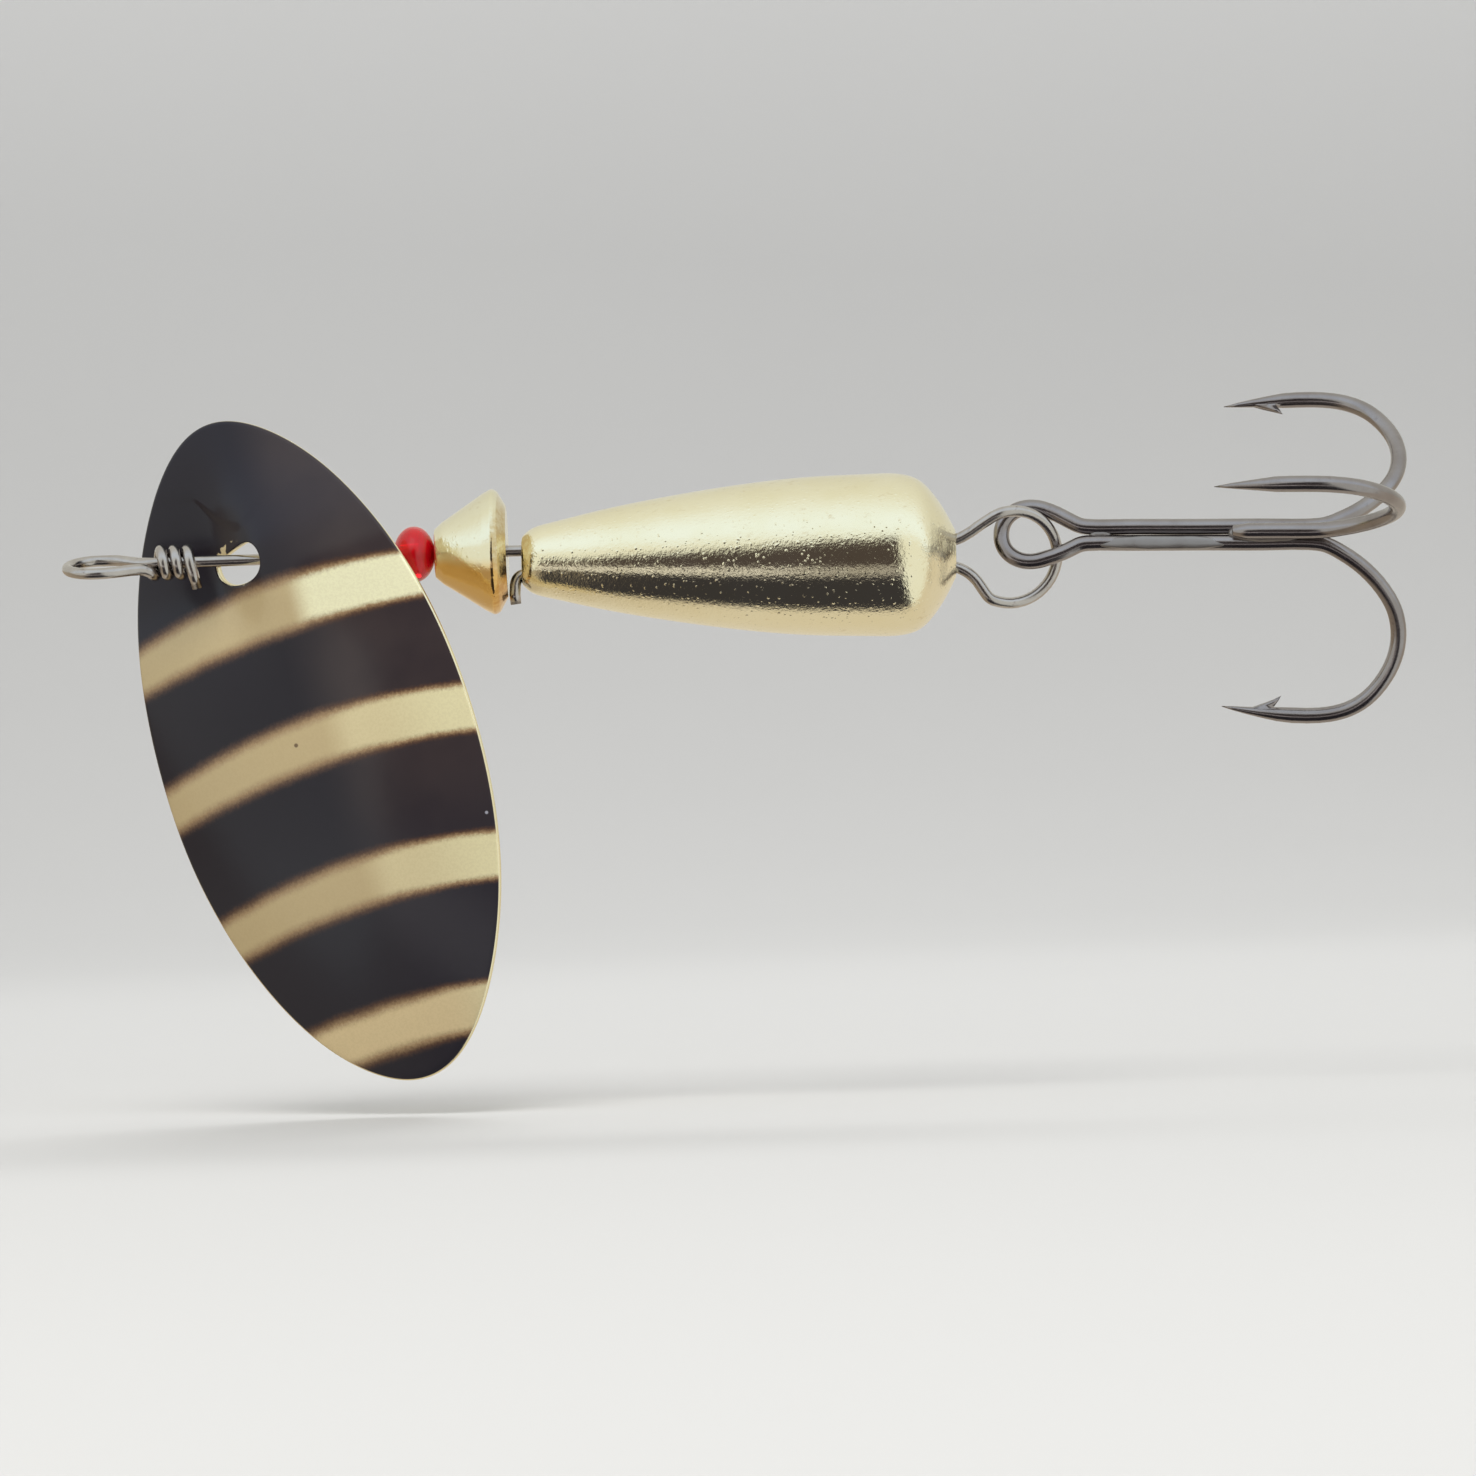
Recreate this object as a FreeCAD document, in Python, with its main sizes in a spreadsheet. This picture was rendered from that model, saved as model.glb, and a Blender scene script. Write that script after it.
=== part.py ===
import FreeCAD, Part
import math
import os
import Sketcher

# In-line spinner lure, millimetres: a shaft wire carries a blade, a bead, a bell
# weight and a tear-drop body, and ends in a loop that holds a treble hook.
# Origin: centre of the line-tie eye.  +X runs along the shaft wire to the
# treble hook, +Z is up, -Y is the side that the blade's outer face looks to.
# "Front" is towards the line-tie eye, -X.
os.makedirs("parts", exist_ok=True)

doc = FreeCAD.newDocument("InlineSpinner")
sheet = doc.addObject("Spreadsheet::Sheet", "Dimensions")

DIMENSIONS = [
    # shaft wire: one length of spring wire
    ("wire_dia", 0.71),
    ("eye_radius", 1.9),          # centreline radius of the line-tie eye
    ("eye_tilt", 13.5),           # eye plane, about X
    ("eye_drop", 0.15),
    ("coil_radius", 0.772),       # centreline radius of the safety wrap
    ("coil_pitch", 0.825),
    ("coil_start", 3.94),         # first coil's crest
    ("loop_radius", 2.94),        # centreline radius of the hook loop
    ("loop_x", 57.11),
    ("loop_z", -1.42),
    ("loop_skew", 14.0),          # loop plane, about X and about Z
    ("leg_lead", 0.45),           # sideways offset of the upper leg
    ("leg_trail", 0.30),          # sideways offset of the return leg
    # blade
    ("blade_thick", 0.50),
    ("blade_hang", 76.63),        # long axis below the shaft, degrees
    ("hole_x", 8.874),
    ("hole_z", -0.171),
    ("hole_half_w", 1.44),
    ("hole_half_v", 1.31),
    ("cup_across", 26.0),         # radius of the cup across the blade
    ("cup_along", 88.0),          # radius of the cup along the blade
    ("cup_mid_a", 2.0),           # a is across the blade, b along it
    ("cup_mid_b", -12.7),
    ("blade_yaw", 0.42),          # slope of the blade across its width
    ("emboss_slope", 0.85),       # S-bend that the wire threads
    ("emboss_width", 2.5),
    ("emboss_fade", 3.0),
    ("outline_mid_a", 1.597),
    ("outline_mid_b", -12.613),
    ("outline_half_a", 10.197),
    ("outline_half_b", 21.533),
    # bead
    ("bead_dia", 3.5),
    ("bead_len", 2.62),
    ("bead_x", 19.78),
    ("bead_bore", 0.95),
    # bell weight: radii, and stations (_x) from its nose
    ("bell_x", 21.07),
    ("bell_len", 4.52),
    ("bell_nose", 1.50),
    ("bell_neck", 1.95),
    ("bell_neck_x", 0.50),
    ("bell_waist", 2.44),
    ("bell_waist_x", 1.26),
    ("bell_flare", 3.64),
    ("bell_flare_x", 3.06),
    ("bell_rim", 3.96),
    ("bell_rim_x", 3.67),
    ("bell_back", 3.76),
    ("bell_back_x", 4.00),
    ("bell_rear", 2.84),
    ("bell_bore", 0.95),          # diameter
    ("bell_side_round", 1.6),
    ("bell_rim_round", 0.28),
    ("bell_nose_round", 0.15),
    # tear-drop body
    ("body_x", 26.49),
    ("body_z", -0.64),
    ("body_tilt", 0.942),
    ("body_bore", 2.74),
    ("body_len", 27.10),
    ("body_front_bevel", 0.12),   # drop in radius to the end face
    ("body_rear_bevel", 0.10),
    # treble hook
    ("hook_wire", 1.0),
    ("hook_x", 56.471),
    ("hook_y", 0.10),
    ("hook_z", 0.0387),
    ("hook_roll", 13.0),
    ("hook_pitch", 1.93),
    ("hook_yaw", 6.0),
    ("hook_gap", 1.03),           # spacing of the three shanks
    ("hook_eye_lift", 0.10),      # rise of the lower half of the hook's eye
    ("spear_len", 3.1),
    ("barb_root", 0.30),
    ("tip_rad", 0.03),            # blunt end of spears and barbs
    ("single_front", 15.1),       # station where the single shank stops
    ("nose_len", 0.75),           # taper on the single shank's front end
    ("nose_rad", 0.22),
    # brazing: ellipsoids drawn out along X
    ("run_x", 16.65),
    ("run_rad", 0.66),
    ("run_half_len", 2.55),
    ("neck_x", 6.2),
    ("neck_rad", 0.34),
    ("neck_half_len", 0.72),
    ("groove_front", 4.5),        # shank clearance cut from the brazing
    ("groove_back", 20.5),
    ("groove_play", 0.002),
]

# tear-drop body: station along its own axis, outer radius
BODY = [
    (0.06, 1.56), (0.45, 1.90), (1.75, 2.36), (4.25, 2.95), (8.0, 3.69),
    (13.0, 4.46), (18.0, 4.95), (21.9, 5.08), (23.75, 5.03), (24.8, 4.69),
    (25.7, 3.84), (26.5, 2.65), (27.04, 1.60),
]

# blade outline: radius about its middle, in half-widths, as a Fourier series:
# the mean, then a cosine and a sine term for each harmonic
OUTLINE = [0.98791, -0.00249, 0.00231, 0.00228, -0.03951, 0.00176, 0.00152,
           0.0066, 0.00592, 0.00075, -0.00016, -0.00253, -0.00255, 0.00026,
           -0.001, -0.00096, 0.00187, -0.00041, -0.00038]


def fill_sheet():
    """One row per entry: note in A, named values in B and C."""
    rows = [(alias, [(alias, value)]) for alias, value in DIMENSIONS]
    rows += [("body station and radius %d" % i,
              [("station_%02d_x" % i, station), ("station_%02d_rad" % i, radius)])
             for i, (station, radius) in enumerate(BODY)]
    rows += [("blade outline term %d" % i, [("outline_term_%02d" % i, term)])
             for i, term in enumerate(OUTLINE)]
    for row, (note, cells) in enumerate(rows, 1):
        sheet.set("A%d" % row, note)
        for column, (alias, value) in zip("BC", cells):
            sheet.set("%s%d" % (column, row), repr(value))
            sheet.setAlias("%s%d" % (column, row), alias)
    doc.recompute()


fill_sheet()

V = FreeCAD.Vector
X_AXIS, Y_AXIS, Z_AXIS = V(1, 0, 0), V(0, 1, 0), V(0, 0, 1)


# ------------------------------------------------------------------ helpers
def size(alias):
    return float(getattr(sheet, alias))


def turn(axis, degrees):
    return FreeCAD.Rotation(axis, degrees)


def place(base, rotation=FreeCAD.Rotation()):
    return FreeCAD.Placement(base, rotation)


def add(kind, name, bound=None, **values):
    """Add an object with plain property values and bound expressions."""
    obj = doc.addObject(kind, name)
    for key, value in values.items():
        setattr(obj, key, value)
    for key, expression in (bound or {}).items():
        obj.setExpression(key, expression)
    return obj


# -------------------------------------------------------------- round wires
def spline(points):
    curve = Part.BSplineCurve()
    curve.interpolate([V(*point) for point in points])
    return curve


def frames(curve, max_step=2.0, max_turn=32.0):
    """Points, tangents and twist-free normals spaced along a centreline."""
    slack = 0.2
    knots = curve.getKnots()
    params = [knots[0]]
    for low, high in zip(knots[:-1], knots[1:]):
        bend = math.degrees(curve.tangent(low)[0].getAngle(curve.tangent(high)[0]))
        count = max(1, int(math.ceil(curve.length(low, high) / max_step - slack)),
                    int(math.ceil(bend / max_turn - slack)))
        params += [low + (high - low) * (i + 1) / count for i in range(count)]
    found, normal = [], None
    for param in params:
        tangent = V(*curve.tangent(param)[0])
        tangent.normalize()
        if normal is None:
            normal = tangent.cross(Z_AXIS if abs(tangent.z) < 0.9 else X_AXIS)
        normal = normal - tangent * normal.dot(tangent)
        normal.normalize()
        found.append((curve.value(param), tangent, V(normal)))
    return found


def ring(point, tangent, normal, radius):
    side = tangent.cross(normal)
    edge = Part.makeCircle(radius)
    edge.Placement = place(point, FreeCAD.Rotation(normal, side, tangent, "ZXY"))
    return Part.Wire([edge])


def wire_solid(name, points, radius):
    """Round wire bent along the points: circles lofted in short runs."""
    curve = spline(points)
    rings = [ring(*frame, radius) for frame in frames(curve)]
    faces = [Part.Face(rings[0]), Part.Face(rings[-1])]
    run = 6
    for i in range(0, len(rings) - 1, run):
        faces += Part.makeLoft(rings[i:i + run + 1], False, True).Faces
    shell = Part.makeShell(faces)
    shell.sewShape()
    solid = Part.makeSolid(shell)
    if solid.Volume < 0:
        solid.reverse()
    expected = curve.length() * math.pi * radius ** 2
    if abs(solid.Volume / expected - 1) > 0.05:
        raise RuntimeError("%s: volume %.3f, expected %.3f" % (
            name, solid.Volume, expected))
    return add("Part::Feature", name, Shape=solid)


# --------------------------------------------------------------- shaft wire
# tail of the wrap: x behind the wrap's rear end, y, z
WRAP_TAIL = [(0.40, -0.52, -1.66), (0.27, -0.66, -1.10), (0.135, -0.75, -0.54)]
# x, y, z from the wrap to the eye, and from the eye onto the axis
WRAP_TO_EYE = [(3.36, -0.62, -0.62), (3.02, -0.86, -0.46), (2.30, -1.12, -0.42)]
EYE_TO_AXIS = [(2.10, 0.95, 0.10), (2.75, 0.42, 0.03), (3.25, 0.10, 0.0),
               (3.75, 0.0, 0.0)]
EYE_ANGLES = (-78, -105, -130, -155, 180, 155, 130, 105, 80)
STRAIGHT_X = (4.6, 5.6, 7.5, 10, 13, 16, 19, 22, 25, 27.5)
# legs inside the body: x, share of the leg's sideways offset, z
UPPER_LEG = [(33.0, 0.10, 0.0), (40.0, 0.3, -0.02), (47.0, 0.6, -0.10),
             (51.0, 0.9, -0.20), (53.65, 1.0, -0.22)]
RETURN_LEG = [(54.33, 1.0, -2.30), (53.3, 1.0, -1.84), (51.0, 0.9, -1.76),
              (46.0, 0.6, -1.70), (40.0, 0.4, -1.60), (34.0, 0.3, -1.50),
              (29.5, 0.2, -1.45), (27.4, 0.1, -1.45), (26.72, 0.0, -1.46)]
# tail bent down over the body's front face: x, y, z
LOCK_TAIL = [(26.28, -0.03, -1.62), (26.06, -0.05, -1.98), (26.00, -0.06, -2.42),
             (25.99, -0.07, -2.88), (26.03, -0.08, -3.34)]


def wrap_points():
    """Tail, then the safety wrap wound forwards from its rear end."""
    def coil(degrees):
        angle = math.radians(degrees)
        radius = size("coil_radius")
        return (size("coil_start") + size("coil_pitch") * degrees / 360.0,
                -radius * math.sin(angle), radius * math.cos(angle))

    rear_x = coil(810)[0]
    return ([(rear_x + x, y, z) for x, y, z in WRAP_TAIL]
            + [coil(degrees) for degrees in range(810, -181, -30)])


def eye_points():
    """Line-tie eye, from its -Y side round the front to its +Y side."""
    slope = math.tan(math.radians(size("eye_tilt")))
    radius = size("eye_radius")

    def eye_z(y):
        return -size("eye_drop") + slope * y

    points = [(1.30, -1.55, eye_z(-1.58))]
    for degrees in EYE_ANGLES:
        angle = math.radians(degrees)
        y = radius * math.sin(angle)
        points.append((radius * math.cos(angle), y, eye_z(y)))
    return points + [(1.30, 1.52, eye_z(1.52) + 0.04)]


def loop_points():
    """Hook loop in its skewed plane, clockwise from the top, with both joins."""
    skew = math.radians(size("loop_skew"))
    along = V(math.cos(skew), math.sin(skew), 0)
    up = V(0, -math.sin(skew), math.cos(skew))
    up = up - along * up.dot(along)
    up.normalize()
    centre = V(size("loop_x"), 0, size("loop_z"))
    radius = size("loop_radius")
    arc = [centre + along * (radius * math.cos(math.radians(degrees)))
           + up * (radius * math.sin(math.radians(degrees)))
           for degrees in range(104, -117, -11)]
    # each join lies midway in y between its leg and the arc
    return ([(55.05, (-size("leg_lead") + arc[0].y) / 2, 0.54)]
            + [tuple(point) for point in arc]
            + [(55.11, (size("leg_trail") + arc[-1].y) / 2, -3.17)])


def make_shaft():
    lead, trail = size("leg_lead"), size("leg_trail")
    points = wrap_points() + WRAP_TO_EYE + eye_points() + EYE_TO_AXIS
    points += [(x, 0.0, 0.0) for x in STRAIGHT_X]
    points += [(x, -share * lead, z) for x, share, z in UPPER_LEG]
    points += loop_points()
    points += [(x, share * trail, z) for x, share, z in RETURN_LEG]
    points += LOCK_TAIL
    return wire_solid("shaft_wire", points, size("wire_dia") / 2)


# -------------------------------------------------------------------- blade
# Local frame: origin in the hole, +X (a) across the blade, +Z (b) along it
# to the end nearer the hole.
def blade_depth(a, b):
    """Y of the blade's middle surface: yaw, cup and embossed S-bend."""
    mid_a, mid_b = size("cup_mid_a"), size("cup_mid_b")
    y = -size("blade_yaw") * a
    y += ((a - mid_a) ** 2 - mid_a ** 2) / (2 * size("cup_across"))
    y += ((b - mid_b) ** 2 - mid_b ** 2) / (2 * size("cup_along"))
    y += (-size("emboss_slope") * a / (1 + (a / size("emboss_width")) ** 2)
          * math.exp(-b * b / (2 * size("emboss_fade") ** 2)))
    return y


def grid_axis(low, high, fine_half, fine, coarse):
    """Grid stations, closer together within fine_half of the hole."""
    stations, value = [], low
    while value < high - 1e-6:
        stations.append(value)
        value += fine if -fine_half <= value < fine_half else coarse
    return stations + [high]


def outline_point(degrees):
    angle = math.radians(degrees)
    terms = [size("outline_term_%02d" % i) for i in range(len(OUTLINE))]
    radius = terms[0]
    for k in range(1, len(terms) // 2 + 1):
        radius += (terms[2 * k - 1] * math.cos(k * angle)
                   + terms[2 * k] * math.sin(k * angle))
    return V(size("outline_mid_a") + size("outline_half_a") * radius * math.cos(angle),
             size("outline_mid_b") + size("outline_half_b") * radius * math.sin(angle), 0)


def upright_sketch(name):
    """Sketch in the blade's local XZ plane."""
    return add("Sketcher::SketchObject", name, Placement=place(V(0, 0, 0), turn(X_AXIS, 90)))


def extrude(name, sketch, reach):
    return add("Part::Extrusion", name, Base=sketch, DirMode="Normal",
               LengthFwd=reach, LengthRev=reach, Solid=True)


def make_blade():
    across = grid_axis(-11.0, 14.5, fine_half=7.0, fine=0.7, coarse=1.4)
    along = grid_axis(-37.0, 12.0, fine_half=8.0, fine=0.9, coarse=1.8)
    surface = Part.BSplineSurface()
    surface.interpolate([[V(a, blade_depth(a, b), b) for b in along] for a in across])
    skin = add("Part::Feature", "blade_skin",
               Shape=surface.toShape().makeOffsetShape(-size("blade_thick") / 2, 1e-3))
    slab = add("Part::Offset", "blade_slab", {"Value": "Dimensions.blade_thick"},
               Source=skin, Fill=True)

    outline = upright_sketch("blade_outline")
    edge = Part.BSplineCurve()
    edge.interpolate([outline_point(degrees) for degrees in range(0, 360, 8)],
                     PeriodicFlag=True)
    outline.addGeometry(edge, False)
    blank = extrude("blade_blank", outline, reach=14.0)
    cup = add("Part::Common", "blade_cup", Base=slab, Tool=blank)

    hole = upright_sketch("blade_hole")
    ellipse = hole.addGeometry(
        Part.Ellipse(V(0, 0, 0), size("hole_half_w"), size("hole_half_v")), False)
    hole.exposeInternalGeometry(ellipse)
    punch = extrude("blade_punch", hole, reach=5.0)
    return add("Part::Cut", "blade",
               {"Placement.Base.x": "Dimensions.hole_x",
                "Placement.Base.z": "Dimensions.hole_z"},
               Base=cup, Tool=punch,
               Placement=place(V(size("hole_x"), 0, size("hole_z")),
                               turn(Y_AXIS, -(90 - size("blade_hang")))))


# --------------------------------------------------------------------- bead
def make_bead():
    """Slightly flattened ball, drilled along the shaft."""
    ball = add("Part::Ellipsoid", "bead_ball",
               {"Radius1": "Dimensions.bead_len / 2",
                "Radius2": "Dimensions.bead_dia / 2",
                "Radius3": "Dimensions.bead_dia / 2"})
    drill = add("Part::Cylinder", "bead_drill",
                {"Radius": "Dimensions.bead_bore / 2",
                 "Height": "Dimensions.bead_len * 2",
                 "Placement.Base.z": "-Dimensions.bead_len"})
    return add("Part::Cut", "bead", {"Placement.Base.x": "Dimensions.bead_x"},
               Base=ball, Tool=drill,
               Placement=place(V(size("bead_x"), 0, 0), turn(Y_AXIS, 90)))


# ------------------------------------------------------------ turned weights
def sketch_on(body, role, name):
    """Sketch in a body, flat on one of its origin planes."""
    plane = next(feature for feature in body.Origin.OriginFeatures
                 if getattr(feature, "Role", "") == role)
    sketch = body.newObject("Sketcher::SketchObject", name)
    sketch.AttachmentSupport = [(plane, "")]
    sketch.MapMode = "FlatFace"
    return sketch


def constrain(sketch, name, expression, *constraint):
    """Add a named constraint and tie it to the sheet."""
    index = sketch.addConstraint(Sketcher.Constraint(*constraint))
    sketch.renameConstraint(index, name)
    sketch.setExpression("Constraints." + name, expression)


def revolve(body, sketch, name):
    doc.recompute()
    turned = body.newObject("PartDesign::Revolution", name)
    turned.Profile = sketch
    turned.ReferenceAxis = (sketch, ["H_Axis"])
    turned.Angle = 360.0
    body.Tip = turned
    doc.recompute()
    return turned


# bell profile corners: expressions for radius and station (None is the nose plane)
BELL_CORNERS = [
    ("bell_bore / 2", None), ("bell_nose", None), ("bell_neck", "bell_neck_x"),
    ("bell_waist", "bell_waist_x"), ("bell_flare", "bell_flare_x"),
    ("bell_rim", "bell_rim_x"), ("bell_back", "bell_back_x"),
    ("bell_rear", "bell_len"), ("bell_bore / 2", "bell_len")]
# fillet name, radius, and the profile corners it rounds
BELL_FILLETS = [("bell_rounding", "bell_side_round", (3, 4)),
                ("bell_rim_rounding", "bell_rim_round", (5, 6)),
                ("bell_nose_rounding", "bell_nose_round", (1, 2, 7))]


def corner_value(expression):
    if expression is None:
        return 0.0
    alias, halved, _ = expression.partition(" / 2")
    return size(alias) / 2 if halved else size(alias)


def edges_at(shape, corners):
    """Names of the circular edges whose station and radius match a corner."""
    return ["Edge%d" % (i + 1) for i, edge in enumerate(shape.Edges)
            if isinstance(edge.Curve, Part.Circle)
            and any(abs(edge.Curve.Center.x - corner.x) < 0.03
                    and abs(edge.Curve.Radius - corner.y) < 0.03
                    for corner in corners)]


def make_bell():
    """Flat nose, flared side, rounded rim, bevelled back."""
    bell = add("PartDesign::Body", "bell_weight")
    sketch = sketch_on(bell, "XY_Plane", "bell_profile")
    corners = [V(corner_value(station), corner_value(radius), 0)
               for radius, station in BELL_CORNERS]
    following = corners[1:] + corners[:1]
    lines = [sketch.addGeometry(Part.LineSegment(start, end), False)
             for start, end in zip(corners, following)]
    for line, after in zip(lines, lines[1:] + lines[:1]):
        sketch.addConstraint(Sketcher.Constraint("Coincident", line, 2, after, 1))
    for i, (radius, station) in enumerate(BELL_CORNERS):
        constrain(sketch, "rad_%d" % i, "Dimensions." + radius,
                  "DistanceY", -1, 1, lines[i], 1, corners[i].y)
        if station is None:
            sketch.addConstraint(Sketcher.Constraint("PointOnObject", lines[i], 1, -2))
        else:
            constrain(sketch, "run_%d" % i, "Dimensions." + station,
                      "DistanceX", -1, 1, lines[i], 1, corners[i].x)
    last = revolve(bell, sketch, "bell_turned")
    for name, radius, picked in BELL_FILLETS:
        fillet = bell.newObject("PartDesign::Fillet", name)
        fillet.Base = (last, edges_at(last.Shape, [corners[i] for i in picked]))
        fillet.Radius = size(radius)
        fillet.setExpression("Radius", "Dimensions." + radius)
        bell.Tip = fillet
        doc.recompute()
        last = fillet
    bell.Placement = place(V(size("bell_x"), 0, 0))
    bell.setExpression("Placement.Base.x", "Dimensions.bell_x")
    return bell


def make_body():
    """Tear-drop body, bored through for both legs of the wire."""
    body = add("PartDesign::Body", "body_weight")
    sketch = sketch_on(body, "XY_Plane", "body_profile")
    side_points = [V(size("station_%02d_x" % i), size("station_%02d_rad" % i), 0)
                   for i in range(len(BODY))]
    side = Part.BSplineCurve()
    side.interpolate(side_points)
    front, rear = side_points[0], side_points[-1]
    length = size("body_len")
    corners = [rear, V(length, rear.y - size("body_rear_bevel"), 0), V(length, 0, 0),
               V(0, 0, 0), V(0, front.y - size("body_front_bevel"), 0), front]
    segments = [Part.LineSegment(start, end)
                for start, end in zip(corners[:-1], corners[1:])]
    for segment in [side] + segments:
        index = sketch.addGeometry(segment, False)
        sketch.addConstraint(Sketcher.Constraint("Block", index))
    turned = revolve(body, sketch, "body_turned")

    circle_sketch = sketch_on(body, "YZ_Plane", "body_bore_circle")
    radius = size("body_bore") / 2
    circle = circle_sketch.addGeometry(Part.Circle(V(0, 0, 0), Z_AXIS, radius), False)
    circle_sketch.addConstraint(Sketcher.Constraint("Coincident", circle, 3, -1, 1))
    constrain(circle_sketch, "bore_radius", "Dimensions.body_bore / 2",
              "Radius", circle, radius)
    doc.recompute()
    bore = body.newObject("PartDesign::Pocket", "body_bored")
    bore.Profile = circle_sketch
    bore.Midplane = True
    bore.setExpression("Length", "Dimensions.body_len * 3")
    body.Tip = bore
    doc.recompute()
    if not bore.Shape.Volume < turned.Shape.Volume - 1.0:
        raise RuntimeError("the bore cut nothing")
    body.Placement = place(V(size("body_x"), 0, size("body_z")),
                           turn(Y_AXIS, size("body_tilt")))
    body.setExpression("Placement.Base.x", "Dimensions.body_x")
    body.setExpression("Placement.Base.z", "Dimensions.body_z")
    return body


# -------------------------------------------------------------- treble hook
# Local frame: +X along the shanks from the eye to the bends, three hooks
# 120 degrees apart about X.  Angles start at -Y and go by way of +Z.
# The double hook is one wire: point, bend, shank, eye, shank, bend, point.
ANGLES = {"upper": 120, "lower": 240, "single": 0}
SHANK_CIRCLE = size("hook_gap") / math.sqrt(3.0)   # shanks' distance from X
EYE_Y = SHANK_CIRCLE * 0.5
# station along the shank, distance out from the shank's line
BEND = [(19.30, 0.0), (20.15, 0.13), (21.05, 0.56), (22.0, 1.20),
        (22.95, 2.05), (23.80, 3.10), (24.42, 4.25), (24.70, 5.45),
        (24.66, 6.70), (24.30, 7.95), (23.62, 9.15), (22.72, 10.15),
        (21.65, 10.82), (20.40, 11.18), (19.0, 11.28), (17.6, 11.22),
        (16.75, 11.14)]
# station, distance out from the shank's line in z
HOOK_EYE = [(5.60, 0.0), (5.0, 0.075), (4.1, 0.50), (3.0, 1.03), (1.9, 1.28),
            (0.88, 1.05), (0.22, 0.42)]
HOOK_PLACE = place(
    V(size("hook_x"), size("hook_y"), size("hook_z")),
    turn(Z_AXIS, -size("hook_yaw")).multiply(
        turn(Y_AXIS, size("hook_pitch"))).multiply(turn(X_AXIS, -size("hook_roll"))))


def radial(x, out, tag):
    """Point at station x, a distance out from the line of a shank."""
    angle = math.radians(ANGLES[tag])
    radius = SHANK_CIRCLE + out
    return (x, -radius * math.cos(angle), radius * math.sin(angle))


def limb(tag, shank_stations):
    """From the point's root round the bend and along the shank to the front."""
    return ([radial(x, out, tag) for x, out in reversed(BEND)]
            + [radial(x, 0.0, tag) for x in shank_stations])


def point_parts(tag, wire_points):
    """Spear and barb at the start of a wire."""
    curve = spline(wire_points)
    root = curve.value(curve.FirstParameter)
    along = curve.tangent(curve.FirstParameter)[0] * -1.0
    # the spear is a long cone that carries on from the wire's end
    spear = add("Part::Cone", "spear_" + tag,
                {"Radius1": "Dimensions.hook_wire / 2",
                 "Radius2": "Dimensions.tip_rad",
                 "Height": "Dimensions.spear_len"},
                Placement=place(root, FreeCAD.Rotation(Z_AXIS, along)))
    # the barb rises on the side towards the shanks and leans back to the bend
    angle = math.radians(ANGLES[tag])
    inward = V(0, math.cos(angle), -math.sin(angle))
    tip = root + inward * 1.12 + along * (-0.62)
    base = root + along * 0.95 + inward * 0.05
    axis = tip - base
    barb = add("Part::Cone", "barb_" + tag,
               {"Radius1": "Dimensions.barb_root", "Radius2": "Dimensions.tip_rad"},
               Height=axis.Length,
               Placement=place(base, FreeCAD.Rotation(Z_AXIS, axis)))
    return [spear, barb]


def fuse_hook(name, shapes):
    return add("Part::MultiFuse", name, Shapes=shapes, Refine=True, Placement=HOOK_PLACE)


def make_double_hook():
    shank_stations = (17.0, 13.5, 10.0, 7.4)
    half_gap = size("hook_gap") / 2
    lift = size("hook_eye_lift")
    points = limb("upper", shank_stations)
    points += [(x, EYE_Y, half_gap + out) for x, out in HOOK_EYE]
    points += [(0.0, EYE_Y, lift)]
    points += [(x, EYE_Y, -(half_gap + out) + (lift if x < 3.5 else 0.0))
               for x, out in reversed(HOOK_EYE)]
    points += reversed(limb("lower", shank_stations))
    wire = wire_solid("double_wire", points, size("hook_wire") / 2)
    return fuse_hook("double_hook", [wire] + point_parts("upper", points)
                     + point_parts("lower", points[::-1]))


def make_single_hook():
    """The single hook, and the tapered nose on its shank's front end."""
    points = limb("single", (17.6, 16.2, size("single_front")))
    wire = wire_solid("single_wire", points, size("hook_wire") / 2)
    nose = add("Part::Cone", "single_nose",
               {"Radius1": "Dimensions.hook_wire / 2",
                "Radius2": "Dimensions.nose_rad",
                "Height": "Dimensions.nose_len"},
               Placement=place(V(*points[-1]), turn(Y_AXIS, -90)))
    return fuse_hook("single_hook", [wire, nose] + point_parts("single", points)), nose


def braze_blob(tag, y):
    """Ellipsoid of filler; Radius2 is its half length along X."""
    return add("Part::Ellipsoid", "braze_" + tag,
               {"Radius1": "Dimensions.%s_rad" % tag,
                "Radius2": "Dimensions.%s_half_len" % tag,
                "Radius3": "Dimensions.%s_rad" % tag},
               Placement=place(V(size(tag + "_x"), y, 0)))


def make_braze(nose):
    """Filler in the grooves between the three shanks, and a fillet where
    the two shanks of the double hook close below the eye."""
    filler = add("Part::MultiFuse", "braze_fill",
                 Shapes=[braze_blob("run", 0), braze_blob("neck", EYE_Y)])
    for tag, front in (("upper", size("groove_front")), ("lower", size("groove_front")),
                       ("single", size("single_front"))):
        groove = add("Part::Cylinder", "shank_" + tag,
                     {"Radius": "Dimensions.hook_wire / 2 + Dimensions.groove_play"},
                     Height=size("groove_back") - front,
                     Placement=place(V(*radial(front, 0.0, tag)), turn(Y_AXIS, 90)))
        filler = add("Part::Cut", "braze_less_" + tag, Base=filler, Tool=groove)
    return add("Part::Cut", "hook_braze", Base=filler, Tool=nose, Placement=HOOK_PLACE)


# ----------------------------------------------------------- build and export
pieces = [make_shaft(), make_blade(), make_bead(), make_bell(), make_body(),
          make_double_hook()]
single_hook, single_nose = make_single_hook()
pieces += [single_hook, make_braze(single_nose)]
doc.recompute()

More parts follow.
